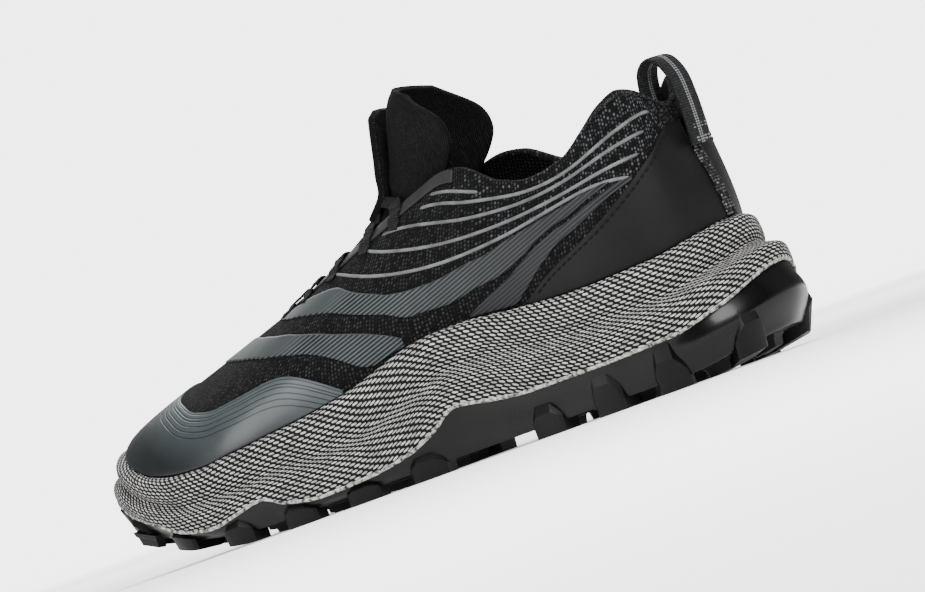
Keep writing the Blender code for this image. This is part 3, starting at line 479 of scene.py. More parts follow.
def chevron_lug(place, across, points, size):
    """A drafted chevron block with a stepped shoulder just under the sheet."""
    rings = []
    for draft, rise in CHEVRON_CUTS:
        ring, grow = [], LUG_DRAFT * draft
        for x, y in CHEVRON:
            w = across * BALL_WIDTH + x * (LUG_SIZE[0] / 2 * size + grow)
            u = place * SOLE_LENGTH + points * y * (LUG_SIZE[1] / 2 * size + grow)
            base = float(underside(u / SOLE_LENGTH))
            ring.append((u, w, base - LUG_HEIGHT + LUG_HEIGHT * rise))
        rings.append(ring)
    return block(rings)


def edge_lug(turn, climb):
    """A six-sided wedge lug that runs from the rubber side down to the ground, in seven cuts."""
    rings = []
    for share, full, lift in EDGE_LUG_CUTS:
        here = np.array(turn + share * EDGE_LUG["length"] / PERIMETER)
        s = station(here)
        low = underside(s)
        top = low + (min(low + climb, height_of("low", s) - 1.0) - low) * lift
        middle = low + (top - low) * EDGE_LUG["shoulder"]
        foot = reach_of("bottom", s)
        back = foot - TRAY_WALL / 2
        inner = back - EDGE_LUG["depth"] * (0.4 + 0.6 * full)
        rise = (middle - low) / (height_of("low", s) - low)
        side_middle = foot + (reach_of("belly", s) - foot) * min(2 * rise, 1.0)
        proud = EDGE_LUG["step"] * full
        rings.append([
            stand_off(here, inner, lambda p: underside(p) - LUG_HEIGHT),
            stand_off(here, foot + proud, low - LUG_HEIGHT),
            stand_off(here, side_middle + proud, middle),
            stand_off(here, side_middle + proud * 0.4, top),
            stand_off(here, side_middle - 1.5, top),
            *(stand_off(here, reach, lambda p: underside(p) + 1.0) for reach in (back, inner)),
        ])
    return block(rings)


lug_grids = []
for across, first, count in FOREFOOT_ROWS:
    for k in range(count):
        lug_grids += chevron_lug(first + k * FOREFOOT_PITCH, across, 1, 1.0)
for row in TOE_AND_HEEL_LUGS:
    lug_grids += chevron_lug(*row)
for edge_row, sign in ((LATERAL_EDGE_LUGS, 1), (MEDIAL_EDGE_LUGS, -1)):
    for around, climb in edge_row:
        lug_grids += edge_lug((sign * around / 2) % 1.0, climb)
lugs = make_piece("outsole_lugs", lug_grids, SATIN_RUBBER, 25.0, ("outsole",))


def modify(piece, kind, **settings):
    """Adds a modifier with its settings."""
    modifier = piece.modifiers.new(kind.lower(), kind)
    for name, value in settings.items():
        setattr(modifier, name, value)


def ease_edges(piece, width, angle):
    """Rounds off the edges that are sharper than an angle."""
    modify(piece, "BEVEL", width=width * MM, segments=2, limit_method="ANGLE",
           angle_limit=math.radians(angle))


ease_edges(lugs, 0.35, 25)

# ---------------------------------------------------------------------------------------------
# Midsole. Soft foam moulded with two swelling bands and a groove, and wrapped in a woven cloth
# of light grey yarns that lie over black ones, half a yarn apart from row to row.
RIM_WALL = 4.0
BAND_SWELL = 1.5
GROOVE_DEPTH = 1.3
# Down the upper band: share of its height, distance inside the rim; down the lower one: share of
# its height, share of its swell
TOP_BAND = ((0.10, RIM_WALL), (0.02, RIM_WALL * 0.85), (0.0, RIM_WALL * 0.5), (0.03, 0.6),
            (0.12, -0.9), (0.35, -BAND_SWELL), (0.65, -BAND_SWELL), (0.88, -0.4))
LOW_BAND = ((0.15, 0.5), (0.4, 1.0), (0.75, 1.0), (0.93, 0.75))
YARN_LENGTH = 3.3
YARN_ROW = 1.4
FINE_ROW = 0.85
# The rows are pulled together round this ring of the side, by the groove
PULLED_RING = 38.4
PULLED_RINGS = 6.5
YARNS_ROUND = round(PERIMETER / YARN_LENGTH)
EDGE_ROLL = {"radius": 0.75, "uneven": 0.25, "out": 1.1, "up": 0.35}


def foam_side():
    top, groove, low = (height_of(name, STATIONS) for name in ("top", "groove", "low"))
    rim, lip = reach_of("rim", STATIONS), reach_of("lip", STATIONS)
    pinch = (rim + lip) / 2 + BAND_SWELL - GROOVE_DEPTH
    cup = stand_off(TURNS, rim - RIM_WALL, lambda p: height_of("floor", p))
    rings = [cup]
    for down, inset in TOP_BAND:
        rings.append(stand_off(TURNS, rim - inset, top + (groove - top) * down))
    rings.append(stand_off(TURNS, pinch, groove))
    for down, swell in LOW_BAND:
        rings.append(stand_off(TURNS, lip + LOW_BAND_SWELL * swell, groove + (low - groove) * down))
    rings.append(stand_off(TURNS, lip + 0.9, low + 0.15))
    rings.append(stand_off(TURNS, lip - TRAY_WALL, low + 0.3))
    side = smoothed(rings, 4)
    texture = round_texture(side, YARNS_ROUND)
    near = np.exp(-((np.arange(len(side) - 1) + 0.5 - PULLED_RING) / PULLED_RINGS) ** 2)
    row = YARN_ROW + (FINE_ROW - YARN_ROW) * near
    texture[1:, :, 1] = np.cumsum(np.diff(texture[..., 1], axis=0) / row[:, None], 0)
    floor = across_floor(cup, 25)
    return [(side, texture, True), (floor, plain_texture(floor) / YARN_ROW, False)]


def chance_of(tree, column, row=0.0):
    """A fixed chance value for each cell of a pattern."""
    cell = add(tree, "CombineXYZ", [column, row])
    return add(tree, "TexWhiteNoise", {"Vector": cell})


def clad(material, colour, height, strength, depth):
    """Gives a material its colour, and a relief with its depth in millimetres."""
    tree = material.node_tree
    bump = add(tree, "Bump", {"Height": height, "Strength": strength, "Distance": depth * MM})
    for output, socket in ((colour, "Base Color"), (bump, "Normal")):
        tree.links.new(output, tree.nodes["Principled BSDF"].inputs[socket])
    return material


def woven_wrap():
    """Polyester wrap: fat light yarns 3 mm long lie slanting in rows; black shows between them."""
    material, tree, _ = finish("woven polyester wrap", 0xB9B6AE, 0.85, IOR=1.45,
                               Specular_IOR_Level=0.2)
    surface, x, y = texture_ways(tree)
    wander = add(tree, "TexNoise", {"Vector": surface, "Scale": 0.22, "Detail": 2.0})
    rows = add(tree, "Math multiply_add", [wander, 0.9, y])
    row = add(tree, "Math floor", [rows])
    columns = add(tree, "Math multiply_add", [row, 0.5, x])
    chance = chance_of(tree, add(tree, "Math floor", [columns]), row)
    along, across = (add(tree, "Math subtract", [add(tree, "Math fract", [way]), 0.5])
                     for way in (columns, rows))
    across = add(tree, "Math multiply_add", [along, 0.42, across])
    powers = []
    for way, stretch, power in ((along, 2.15, 3.0), (across, 2.5, 2.0)):
        way = add(tree, "Math multiply", [way, stretch])
        way = add(tree, "Math power", [way, power])
        powers.append(add(tree, "Math absolute", [way]))
    far = add(tree, "Math add", powers)
    yarn = add(tree, "MapRange", [far, 0.8, 0.22], interpolation_type="SMOOTHSTEP")
    stretched = add(tree, "VectorMath multiply", [surface, (1.2, 7, 1)])
    strands = add(tree, "TexNoise", {"Vector": stretched, "Scale": 1.0})
    light = add(tree, "MixRGB", [chance, 0x8A8A87, 0xDCDBD7])
    light = add(tree, "MixRGB", [strands, light, 0x7A7976])
    colour = add(tree, "MixRGB", [yarn, 0x070707, light])
    height = add(tree, "Math multiply_add", [strands, 0.2, yarn])
    return clad(material, colour, height, 1.0, 0.5)


def frayed_yarn():
    """Cut edge of the wrap, sealed in a loose pale roll of fibres."""
    material, tree, _ = finish("frayed polyester edge", 0x9C9992, 0.9, IOR=1.45,
                               Specular_IOR_Level=0.2)
    fibres = patches_of(tree, 1.6, 5.0)
    share = add(tree, "MapRange", [fibres, 0.38, 0.6])
    colour = add(tree, "MixRGB", [share, 0x2A2926, 0xA9A8A3])
    return clad(material, colour, fibres, 0.9, 0.5)


def edge_roll():
    """The roll of fibres that runs round the foam where the rubber begins."""
    low, lip = height_of("low", STATIONS), reach_of("lip", STATIONS)
    rng = np.random.default_rng(7)
    fat = EDGE_ROLL["radius"] * (1 + EDGE_ROLL["uneven"] * (rng.random(len(TURNS)) - 0.5))
    out, up = lip + EDGE_ROLL["out"], low + EDGE_ROLL["up"]
    grid = np.array([stand_off(TURNS, out + fat * math.cos(a), up + fat * math.sin(a))
                     for a in np.linspace(0, 2 * math.pi, 9)])
    return [(grid, round_texture(grid, YARNS_ROUND), True)]


foam = make_piece("midsole_foam", foam_side(), woven_wrap(), 60.0, ("midsole",))
make_piece("midsole_edge", edge_roll(), frayed_yarn(), 80.0, ())

# ---------------------------------------------------------------------------------------------
# Upper. One sock of knitted polyester, 2 mm thick and padded round the ankle, black with fine
# upright ribs and a few grey stitches. It is stitched down inside the cup of the foam.
COLLAR_HEIGHT = 110.0
KNIT_WALL = 2.0
COLLAR_PAD = 3.0
PAD = {"end": 0.43, "fade": 0.08, "level": 0.45, "rise": 0.35}
UPPER_GAP = 0.3
OUTWARD_PULL = 15.0
RIB_PITCH = 1.5
LINING_PITCH = 1.6
LIP_STITCH = 0.7
LIP_END = 0.095
UPPER_ROWS = 56
# The grey stitches begin over these lengths towards the heel and the collar
FLECKS = {"Y": (45.0, 120.0), "Z": (62.0, 100.0), "share": 0.75}

# Edge of the collar and throat by the share of the way round: place along the sole, half widths
# as shares of the ball width, height as a share of the collar's height
OPENING = (
    (0.000, 0.060, 0.000, 0.000, 0.900),
    (0.050, 0.062, 0.079, 0.079, 0.922),
    (0.100, 0.070, 0.158, 0.158, 0.975),
    (0.135, 0.084, 0.215, 0.210, 0.995),
    (0.165, 0.107, 0.258, 0.250, 0.968),
    (0.200, 0.137, 0.285, 0.272, 0.907),
    (0.240, 0.177, 0.292, 0.280, 0.843),
    (0.285, 0.227, 0.288, 0.276, 0.823),
    (0.330, 0.273, 0.270, 0.258, 0.855),
    (0.375, 0.323, 0.232, 0.225, 0.943),
    (0.405, 0.351, 0.202, 0.200, 0.957),
    (0.450, 0.400, 0.175, 0.175, 0.927),
    (0.500, 0.458, 0.158, 0.158, 0.875),
    (0.555, 0.507, 0.149, 0.149, 0.829),
    (0.610, 0.557, 0.136, 0.136, 0.780),
    (0.680, 0.600, 0.110, 0.110, 0.740),
    (0.770, 0.623, 0.079, 0.079, 0.724),
    (0.890, 0.637, 0.035, 0.035, 0.719),
    (1.000, 0.640, 0.000, 0.000, 0.718),
)
# How the wall leaves the rim and reaches the opening, as shares of the collar's height: rise,
# flare, lead, drop
WALL = (
    (0.000, 0.11, 0.005, 0.000, 0.15),
    (0.135, 0.16, 0.018, 0.036, 0.22),
    (0.285, 0.12, 0.014, 0.023, 0.13),
    (0.375, 0.15, 0.009, 0.064, 0.16),
    (0.450, 0.15, 0.009, 0.109, 0.15),
    (0.555, 0.16, 0.009, 0.182, 0.12),
    (0.680, 0.15, 0.005, 0.218, 0.08),
    (0.800, 0.13, 0.000, 0.291, 0.09),
    (0.900, 0.09, -0.015, 0.370, 0.11),
    (1.000, 0.06, -0.030, 0.409, 0.12),
)


def wall_guides():
    """Four guide points of the wall's curve, from the rim to the opening, all the way round."""
    turn = np.linspace(0, 1, 1601)
    around = 1 - np.abs(1 - 2 * turn)
    point, normal = outline_at(turn)
    s = station(turn)
    start = stand_off(turn, reach_of("rim", s) - RIM_WALL - UPPER_GAP,
                      height_of("top", s) + UPPER_GAP)
    side = np.where(turn <= 0.5, 1.0, -1.0)
    half = np.where(turn <= 0.5, read(OPENING, 2, around), read(OPENING, 3, around))
    end = np.stack([read(OPENING, 1, around) * SOLE_LENGTH, half * side * BALL_WIDTH,
                    read(OPENING, 4, around) * COLLAR_HEIGHT], -1)
    rise, flare, lead, drop = (read(WALL, k, around) * COLLAR_HEIGHT for k in (1, 2, 3, 4))
    away = unit(start[:, :2] - end[:, :2] + normal * OUTWARD_PULL)
    first = start + np.column_stack([normal * flare[:, None], rise])
    last = end + np.column_stack([away * lead[:, None], -drop])
    return turn, (start, first, last, end)


GUIDE_TURN, GUIDES = wall_guides()


def upper_point(turn, level):
    """Outer face of the upper: level 0 is the rim of the foam and 1 the opening."""
    turn = np.mod(turn, 1.0)
    start, first, last, end = (
        np.stack([np.interp(turn, GUIDE_TURN, guide[:, k]) for k in range(3)], -1)
        for guide in GUIDES)
    t = np.asarray(level, dtype=float)[..., None]
    return ((1 - t) ** 3 * start + 3 * (1 - t) ** 2 * t * first + 3 * (1 - t) * t * t * last
            + t ** 3 * end)


def off_upper(turn, level, distance):
    """Points off the outer face by a distance, along the face's outward direction."""
    turn, level = np.broadcast_arrays(np.asarray(turn, float), np.asarray(level, float))
    step = 0.004
    low, high = (upper_point(turn, np.clip(level + way, 0, 1)) for way in (-step, step))
    along = upper_point(turn + step, level) - upper_point(turn - step, level)
    normal = unit(np.cross(high - low, along))
    plan = outline_at(turn)[1]
    facing = (normal[..., :2] * plan).sum(-1) + normal[..., 2] * 0.8
    normal = np.where(facing[..., None] < 0, -normal, normal)
    return upper_point(turn, level) + normal * np.asarray(distance)[..., None]


def wall_thickness(turn, level):
    """The knit's thickness, which grows to a pad round the top of the ankle."""
    ankle = np.clip((PAD["end"] - (1 - np.abs(1 - 2 * turn))) / PAD["fade"], 0, 1)
    height = np.clip((level - PAD["level"]) / PAD["rise"], 0, 1)
    return KNIT_WALL + COLLAR_PAD * ankle * height * height * (3 - 2 * height)


def swell_of(tree, value, edge, core):
    """A pattern's swell: 0 at the edge of each of its repeats, and 1 at the core."""
    off = off_line(tree, add(tree, "Math fract", [value]), 0.5)
    return add(tree, "MapRange", [off, edge, core], interpolation_type="SMOOTHSTEP")


def knit(name, dark, light, stitch_row, flecked=None):
    """Ribbed polyester knit: upright ribs of small stitches, some of them grey by the collar."""
    material, tree, _ = finish(name, dark, 0.9, IOR=1.45, Specular_IOR_Level=0.12)
    _, ribs, rows = texture_ways(tree)
    rib = add(tree, "Math floor", [ribs])
    rows = add(tree, "Math divide", [rows, stitch_row])
    rows = add(tree, "Math add", [rows, chance_of(tree, rib)])
    chance = chance_of(tree, rib, add(tree, "Math floor", [rows]))
    upright = swell_of(tree, ribs, 0.46, 0.1)
    stitch = add(tree, "Math multiply", [upright, swell_of(tree, rows, 0.46, 0.15)])
    bright = add(tree, "Math power", [chance, 1.4])
    colour = add(tree, "MixRGB", [bright, dark, light])
    colour = add(tree, "MixRGB", [stitch, 0x030303, colour])
    if flecked:
        share = 1.0
        for way in ("Y", "Z"):
            place = add(tree, "SeparateXYZ", [add(tree, "TexCoord", out="Object")], way)
            near = add(tree, "MapRange", [place, flecked[way][0] * MM, flecked[way][1] * MM])
            share = add(tree, "Math multiply", [near, share])
        least = add(tree, "MapRange", {"Value": share, "To Max": 1 - flecked["share"],
                                       "To Min": 1.0})
        pale = add(tree, "MapRange", [chance, least, 1.02])
        pale = add(tree, "Math multiply", [pale, stitch])
        colour = add(tree, "MixRGB", [pale, colour, 0x494B4E])
    height = add(tree, "Math multiply_add", [upright, 0.8, stitch])
    return clad(material, colour, height, 0.8, 0.35)


def knitted_upper():
    """Outer wall from the cup up, and the rounded edge of the collar and throat."""
    s = station(TURNS)
    levels = np.linspace(0, 1, UPPER_ROWS)
    foot = stand_off(TURNS, reach_of("rim", s) - RIM_WALL - UPPER_GAP,
                     lambda p: height_of("floor", p) + UPPER_GAP)
    outer = np.array([foot] + [upper_point(TURNS, np.full(len(TURNS), v)) for v in levels])
    top, thick = outer[-1], wall_thickness(TURNS, 1.0)
    inner_top = off_upper(TURNS, np.ones(len(TURNS)), -thick)
    up = unit(top - upper_point(TURNS, np.full(len(TURNS), 0.97)))
    middle, half = (top + inner_top) / 2, (top - inner_top) / 2
    bead = np.array([middle + half * math.cos(a) + up * (thick * 0.32)[:, None] * math.sin(a)
                     for a in np.linspace(0, math.pi, 8)])
    grid = np.concatenate([outer, bead[1:]])
    return [(grid, round_texture(grid, round(PERIMETER / RIB_PITCH)), True)]


def upper_inside():
    """The lining, one wall further in than the knit."""
    grid = np.array([off_upper(TURNS, np.full(len(TURNS), level), -wall_thickness(TURNS, level))
                     for level in np.linspace(0.0, 1.0, UPPER_ROWS // 2)])
    return [(grid, round_texture(grid, round(PERIMETER / LINING_PITCH)), True)]


def collar_lip():
    """The speckled edge round the back of the collar."""
    turn = np.linspace(-LIP_END, LIP_END, 240)
    grid = np.array([off_upper(turn, 1.0 - 0.012 * (1 - math.cos(a)), 0.25 + 0.75 * math.sin(a))
                     for a in np.linspace(0, math.pi, 7)])
    return [(grid, plain_texture(grid) / LIP_STITCH, False)]


KNIT = knit("ribbed polyester knit", 0x09090A, 0x2E2F31, RIB_PITCH, FLECKS)
make_piece("upper_knit", knitted_upper(), KNIT, 70.0, ("upper",))
COLLAR_EDGE = knit("speckled knit edge", 0x121213, 0x5A5C5E, LIP_STITCH)
make_piece("collar_edge", collar_lip(), COLLAR_EDGE, 80.0, ())
LINING = knit("brushed lining mesh", 0x0B0B0C, 0x1C1D1F, 1.4)
make_piece("upper_lining", upper_inside(), LINING, 70.0, ())

# ---------------------------------------------------------------------------------------------
# Raised lines. Soft grey polyurethane printed on the knit in round-ended cords, four long ones
# and a short one on each side, which fan from the heel down to the lace loops.
LINE_WIDTH = 1.4
LINE_HEIGHT = 0.6
LINE_SUNK = 0.1
RAISED_LINES = (
    ((0.087, 0.915), (0.111, 0.860), (0.152, 0.825), (0.184, 0.845), (0.228, 0.905),
     (0.275, 0.925), (0.323, 0.885), (0.362, 0.815), (0.410, 0.805), (0.440, 0.850)),
    ((0.109, 0.769), (0.154, 0.752), (0.202, 0.806), (0.253, 0.860), (0.300, 0.838),
     (0.343, 0.754), (0.383, 0.680), (0.436, 0.735), (0.470, 0.830), (0.500, 0.900)),
    ((0.126, 0.646), (0.168, 0.669), (0.217, 0.742), (0.266, 0.775), (0.309, 0.730),
     (0.351, 0.613), (0.391, 0.545), (0.427, 0.575), (0.470, 0.700), (0.530, 0.880)),
    ((0.143, 0.556), (0.181, 0.606), (0.231, 0.705), (0.278, 0.698), (0.321, 0.606),
     (0.359, 0.475), (0.401, 0.425), (0.422, 0.442), (0.468, 0.544), (0.514, 0.683),
     (0.558, 0.812), (0.585, 0.870)),
    ((0.352, 0.885), (0.375, 0.860), (0.400, 0.865), (0.425, 0.895)),
)


def turn_of(around, medial):
    """The turn at a share of the way round one side, from the heel to the toe."""
    return 1 - around / 2 if medial else around / 2


def raised_line(rows, medial):
    """A low half-round cord on the upper, its ends rounded off."""
    around, level = smoothed(rows, 14).T
    turn = turn_of(around, medial)
    height = upper_point(turn, level)[:, 2]
    height = np.polyval(np.polyfit(around, height, min(4, len(rows) - 2)), around)
    climb = np.linspace(0.3, 0.96, 60)
    level = np.array([np.interp(z, upper_point(np.full(60, t), climb)[:, 2], climb)
                      for t, z in zip(turn, height)])
    middle = off_upper(turn, level, 0.0)
    out = off_upper(turn, level, 1.0) - middle
    side = unit(np.cross(unit(np.gradient(middle, axis=0)), out))
    gone = length_along(middle)
    taper = np.sqrt(np.clip(np.minimum(gone, gone[-1] - gone) / LINE_WIDTH, 0.02, 1))[:, None]
    grid = np.array([middle + side * x * LINE_WIDTH / 2 * taper
                     + out * (math.sqrt(max(1 - x * x, 0)) * LINE_HEIGHT - LINE_SUNK) * taper
                     for x in np.linspace(-1, 1, 9)])
    return (grid, plain_texture(grid), False)


def printed_cord():
    """Matt grey polyurethane, a little worn and uneven along its length."""
    material, tree, _ = finish("printed polyurethane", 0x4A4C4C, 0.55, IOR=1.5,
                               Specular_IOR_Level=0.3)
    wear = patches_of(tree, 7, 4.0)
    worn = add(tree, "MapRange", [wear, 0.35, 0.7])
    colour = add(tree, "MixRGB", [worn, 0x5D5F60, 0x38393A])
    return clad(material, colour, wear, 0.2, 0.2)


line_grids = [raised_line(rows, medial) for rows in RAISED_LINES for medial in (False, True)]
make_piece("raised_lines", line_grids, printed_cord(), 80.0, ())

# ---------------------------------------------------------------------------------------------
# Striped panels. Blue-grey film welded on the knit: fine slanting ridges at the sides, which
# fade to a plain skin over the toes. A bare band of knit is left between the two panels.
STRIPE_PITCH = 1.35
STRIPE_SLANT = 18.0
PANEL_THICKNESS = 0.4
FILM_LIFT = 0.05
# Edges of the panels on each side, low and high: way round and level
BACK_PANEL = (
    ((0.170, 0.585), (0.210, 0.600), (0.250, 0.575), (0.280, 0.500), (0.300, 0.405),
     (0.316, 0.330), (0.356, 0.215), (0.396, 0.150), (0.436, 0.175), (0.474, 0.319),
     (0.519, 0.469), (0.562, 0.585), (0.620, 0.700), (0.700, 0.810), (0.790, 0.885)),
    ((0.170, 0.600), (0.200, 0.640), (0.231, 0.680), (0.278, 0.650), (0.321, 0.555),
     (0.350, 0.435), (0.379, 0.365), (0.411, 0.330), (0.436, 0.350), (0.461, 0.400),
     (0.494, 0.517), (0.532, 0.640), (0.560, 0.730), (0.600, 0.800), (0.660, 0.860),
     (0.740, 0.890), (0.790, 0.900)),
)
HEEL_STRIPES = (
    ((0.141, 0.520), (0.163, 0.512), (0.208, 0.485), (0.245, 0.440), (0.275, 0.300),
     (0.300, 0.120), (0.318, 0.020), (0.372, 0.015)),
    ((0.141, 0.545), (0.170, 0.560), (0.210, 0.565), (0.250, 0.535), (0.280, 0.460),
     (0.300, 0.365), (0.316, 0.270), (0.340, 0.160), (0.358, 0.080), (0.372, 0.030)),
)
# The front panel runs over the toes from one side to the other
FRONT_PANEL = (
    ((0.450, 0.012), (0.487, 0.030), (0.501, 0.073), (0.524, 0.194), (0.551, 0.304),
     (0.577, 0.385), (0.593, 0.421), (0.650, 0.520), (0.730, 0.620), (0.850, 0.680),
     (1.000, 0.700)),
    ((0.450, 0.060), (0.473, 0.181), (0.512, 0.333), (0.542, 0.413), (0.577, 0.504),
     (0.640, 0.630), (0.720, 0.730), (0.820, 0.790), (1.000, 0.810)),
)
FRONT_PANEL_TURNS = (0.226, 0.774)


def thicken(piece, thickness, bevel=0.0):
    """Gives an open sheet its thickness, away from the middle of the shoe, with eased edges."""
    mesh = piece.data
    middle = Vector(((CAD_BOX[0].x + CAD_BOX[1].x) / 2, 0.0, 0.04))
    if sum((p.center - middle).dot(p.normal) * p.area for p in mesh.polygons) < 0:
        mesh.flip_normals()
    modify(piece, "SOLIDIFY", thickness=thickness * MM, offset=1.0)
    if bevel:
        ease_edges(piece, bevel, 50)


def film_on_upper(name, turns, edges, counts, material, nodes=(),
                  thickness=PANEL_THICKNESS, bevel=0.0):
    """A film on the upper between a low and a high edge; each is a table or one level."""
    turn = np.linspace(*turns, counts[0])
    around = 1 - np.abs(1 - 2 * turn)
    foot, top = (read(edge, 1, around) if isinstance(edge, tuple) else np.full(len(turn), edge)
                 for edge in edges)
    grid = np.array([off_upper(turn, foot + (top - foot) * v, FILM_LIFT)
                     for v in np.linspace(0, 1, counts[1])])
    piece = make_piece(name, [(grid, plain_texture(grid), False)], material, 60.0, nodes)
    thicken(piece, thickness, bevel)


def striped_film(name, pale, shade, plain):
    """Satin film with slanting ridges 1.35 mm apart over black knit, and plain over the toes."""
    material, tree, _ = finish(name, pale, 0.5, IOR=1.48, Specular_IOR_Level=0.22)
    place = add(tree, "TexCoord", out="Object")
    slant, pitch = math.radians(STRIPE_SLANT), STRIPE_PITCH * MM
    ridge = (0.0, -math.sin(slant) / pitch, math.cos(slant) / pitch)
    stripes = add(tree, "VectorMath dot_product", [place, ridge], "Value")
    stripe = swell_of(tree, stripes, 0.32, 0.08)
    facing = add(tree, "SeparateXYZ", [add(tree, "NewGeometry", out="Normal")], "Z")
    over = add(tree, "MapRange", [facing, 0.50, 0.68])
    stripe = add(tree, "Math maximum", [stripe, over])
    back = add(tree, "MapRange", [add(tree, "SeparateXYZ", [place], "Y"), 10 * MM, 85 * MM])
    mottle = patches_of(tree, 9, 3.0)
    light = add(tree, "MixRGB", [mottle, shade, pale])
    light = add(tree, "MixRGB", [over, light, plain])
    light = add(tree, "MixRGB", [back, light, 0x2B2D2F])
    colour = add(tree, "MixRGB", [stripe, 0x08090A, light])
    return clad(material, colour, stripe, 0.7, 0.4)


STRIPED = striped_film("ridged blue-grey film", 0x4D5457, 0x343A3C, 0x2B2F30)
DARK_STRIPED = striped_film("ridged charcoal film", 0x26292A, 0x17191A, 0x1C1E1F)
SIDES = (("lateral", False), ("medial", True))
for side, medial in SIDES:
    for label, edges, film in (("side", BACK_PANEL, STRIPED), ("heel", HEEL_STRIPES, DARK_STRIPED)):
        ends = (edges[0][0][0] + 0.001, edges[0][-1][0] - 0.001)
        film_on_upper("striped_panel_%s_%s" % (label, side),
                      sorted(turn_of(end, medial) for end in ends), edges, (170, 16), film)
film_on_upper("striped_panel_front", FRONT_PANEL_TURNS, FRONT_PANEL, (260, 14), STRIPED)

# ---------------------------------------------------------------------------------------------
# Toe cap. A clear blue-grey polyurethane film moulded round the toe and welded to the knit,
# with fine lines that follow its upper edge.
CAP_THICKNESS = 0.9
CAP_EDGE = ((0.530, 0.015), (0.546, 0.105), (0.562, 0.180), (0.580, 0.250), (0.597, 0.300),
            (0.615, 0.330), (0.640, 0.342), (0.675, 0.340), (0.715, 0.345), (0.770, 0.380),
            (0.850, 0.460), (1.000, 0.540))
CAP_TURNS = (0.266, 0.734)
CAP_FOOT = 0.004
CAP_LINES = (0.9, 2.6, 3.8, 6.0, 8.2, 10.6)


def toe_film():
    """Satin film: cool grey over black, with painted light that makes it paler near its upper edge,
    painted shade that darkens it lower down, and engraved contour lines.
    """
    material, tree, _ = finish("moulded polyurethane film", 0x2C3335, 0.4, IOR=1.48,
                               Coat_Weight=0.15, Coat_Roughness=0.2, Specular_IOR_Level=0.25)
    down = texture_ways(tree)[2]
    lines = 0.0
    for near in CAP_LINES:
        line = add(tree, "MapRange", [off_line(tree, down, near), 0.32, 0.1])
        lines = add(tree, "Math maximum", [lines, line])
    cloud = patches_of(tree, 16, 3.0)
    # Painted light and shade: paler within 3 mm of the upper edge, where light falls on the bend,
    # and darker down to near black 22 mm below it.
    depth = add(tree, "MapRange", [down, 3.0, 22.0])
    base = add(tree, "MixRGB", [cloud, 0x293033, 0x40484B])
    base = add(tree, "MixRGB", [depth, base, 0x131718])
    colour = add(tree, "MixRGB", [lines, base, 0x08090A])
    flat = add(tree, "Math subtract", [1.0, lines])
    return clad(material, colour, flat, 0.5, 0.25)


film_on_upper("toe_cap_film", CAP_TURNS, (CAP_EDGE, CAP_FOOT), (240, 22), toe_film(),
              ("toe_cap",), CAP_THICKNESS, 0.3)

# ---------------------------------------------------------------------------------------------
# Heel counter. Two halves of smooth black synthetic leather, sewn to the knit with a row of
# black thread inside their upper edge, and closed at the back by a narrow woven strip.
COUNTER_THICKNESS = 0.9
COUNTER_EDGE = ((0.000, 0.870), (0.040, 0.865), (0.065, 0.820), (0.085, 0.745), (0.108, 0.640),
                (0.132, 0.550), (0.155, 0.480), (0.200, 0.380), (0.231, 0.321), (0.263, 0.225),
                (0.300, 0.030))
COUNTER_ENDS = (0.009, 0.300)
COUNTER_FOOT = 0.004
SEAM_ENDS = (0.062, 0.285)
SEAM_INSET = 0.045
STITCH_LENGTH = 2.1
STITCH_GAP = 0.9
THREAD = 0.42


def synthetic_leather():
    """Microfibre with a polyurethane skin: near black, a faint pebble, soft broad highlights."""
    material, tree, shader = finish("smooth synthetic leather", 0x0B0B0C, 0.55, IOR=1.48,
                                    Specular_IOR_Level=0.13)
    place = add(tree, "TexCoord", out="Object")
    pebble = add(tree, "TexVoronoi", {"Vector": place, "Scale": 1 / (0.7 * MM)})
    cloud = patches_of(tree, 14, 5.0)
    rough = add(tree, "MapRange", {"Value": cloud, "To Min": 0.48, "To Max": 0.62})
    tree.links.new(rough, shader.inputs["Roughness"])
    colour = add(tree, "MixRGB", [cloud, 0x060607, 0x101011])
    return clad(material, colour, pebble, 0.15, 0.08)


def stitch_row(path, outward):
    """Grids of short rounded stitches of thread along a path, just off its surface."""
    gone = length_along(path)

    def at(values, length):
        return np.array([np.interp(length, gone, values[:, k]) for k in range(3)])

    grids = []
    for start in np.arange(0.5, gone[-1] - STITCH_LENGTH, STITCH_LENGTH + STITCH_GAP):
        rings = []
        for share in np.linspace(0, 1, 7):
            here = start + share * STITCH_LENGTH
            middle, out = at(path, here), unit(at(outward, here))
            side = unit(np.cross(at(path, here + 0.2) - middle, out))
            fat = THREAD * math.sqrt(max(1 - (2 * share - 1) ** 4, 0.02))
            rings.append([middle + side * fat * math.cos(a) + out * (fat * math.sin(a) + 0.05)
                          for a in np.arange(8) * math.pi / 4])
        grid = np.array(rings)
        grids.append((grid, round_texture(grid, 1.0), True))
    return grids


SYNTHETIC = synthetic_leather()
thread_grids = []
for side, medial in SIDES:
    film_on_upper("heel_counter_skin_" + side, sorted(turn_of(a, medial) for a in COUNTER_ENDS),
                  (COUNTER_FOOT, COUNTER_EDGE), (90, 22), SYNTHETIC, ("heel_counter_" + side,),
                  COUNTER_THICKNESS, 0.35)
    around = np.linspace(*SEAM_ENDS, 160)
    turn, level = turn_of(around, medial), read(COUNTER_EDGE, 1, around) - SEAM_INSET
    seam = off_upper(turn, level, COUNTER_THICKNESS + 0.05)
    thread_grids += stitch_row(seam, off_upper(turn, level, COUNTER_THICKNESS + 1.05) - seam)
BLACK_THREAD = finish("bonded black thread", 0x050505, 0.6, IOR=1.5, Specular_IOR_Level=0.1)[0]
make_piece("counter_stitching", thread_grids, BLACK_THREAD, 80.0, ())

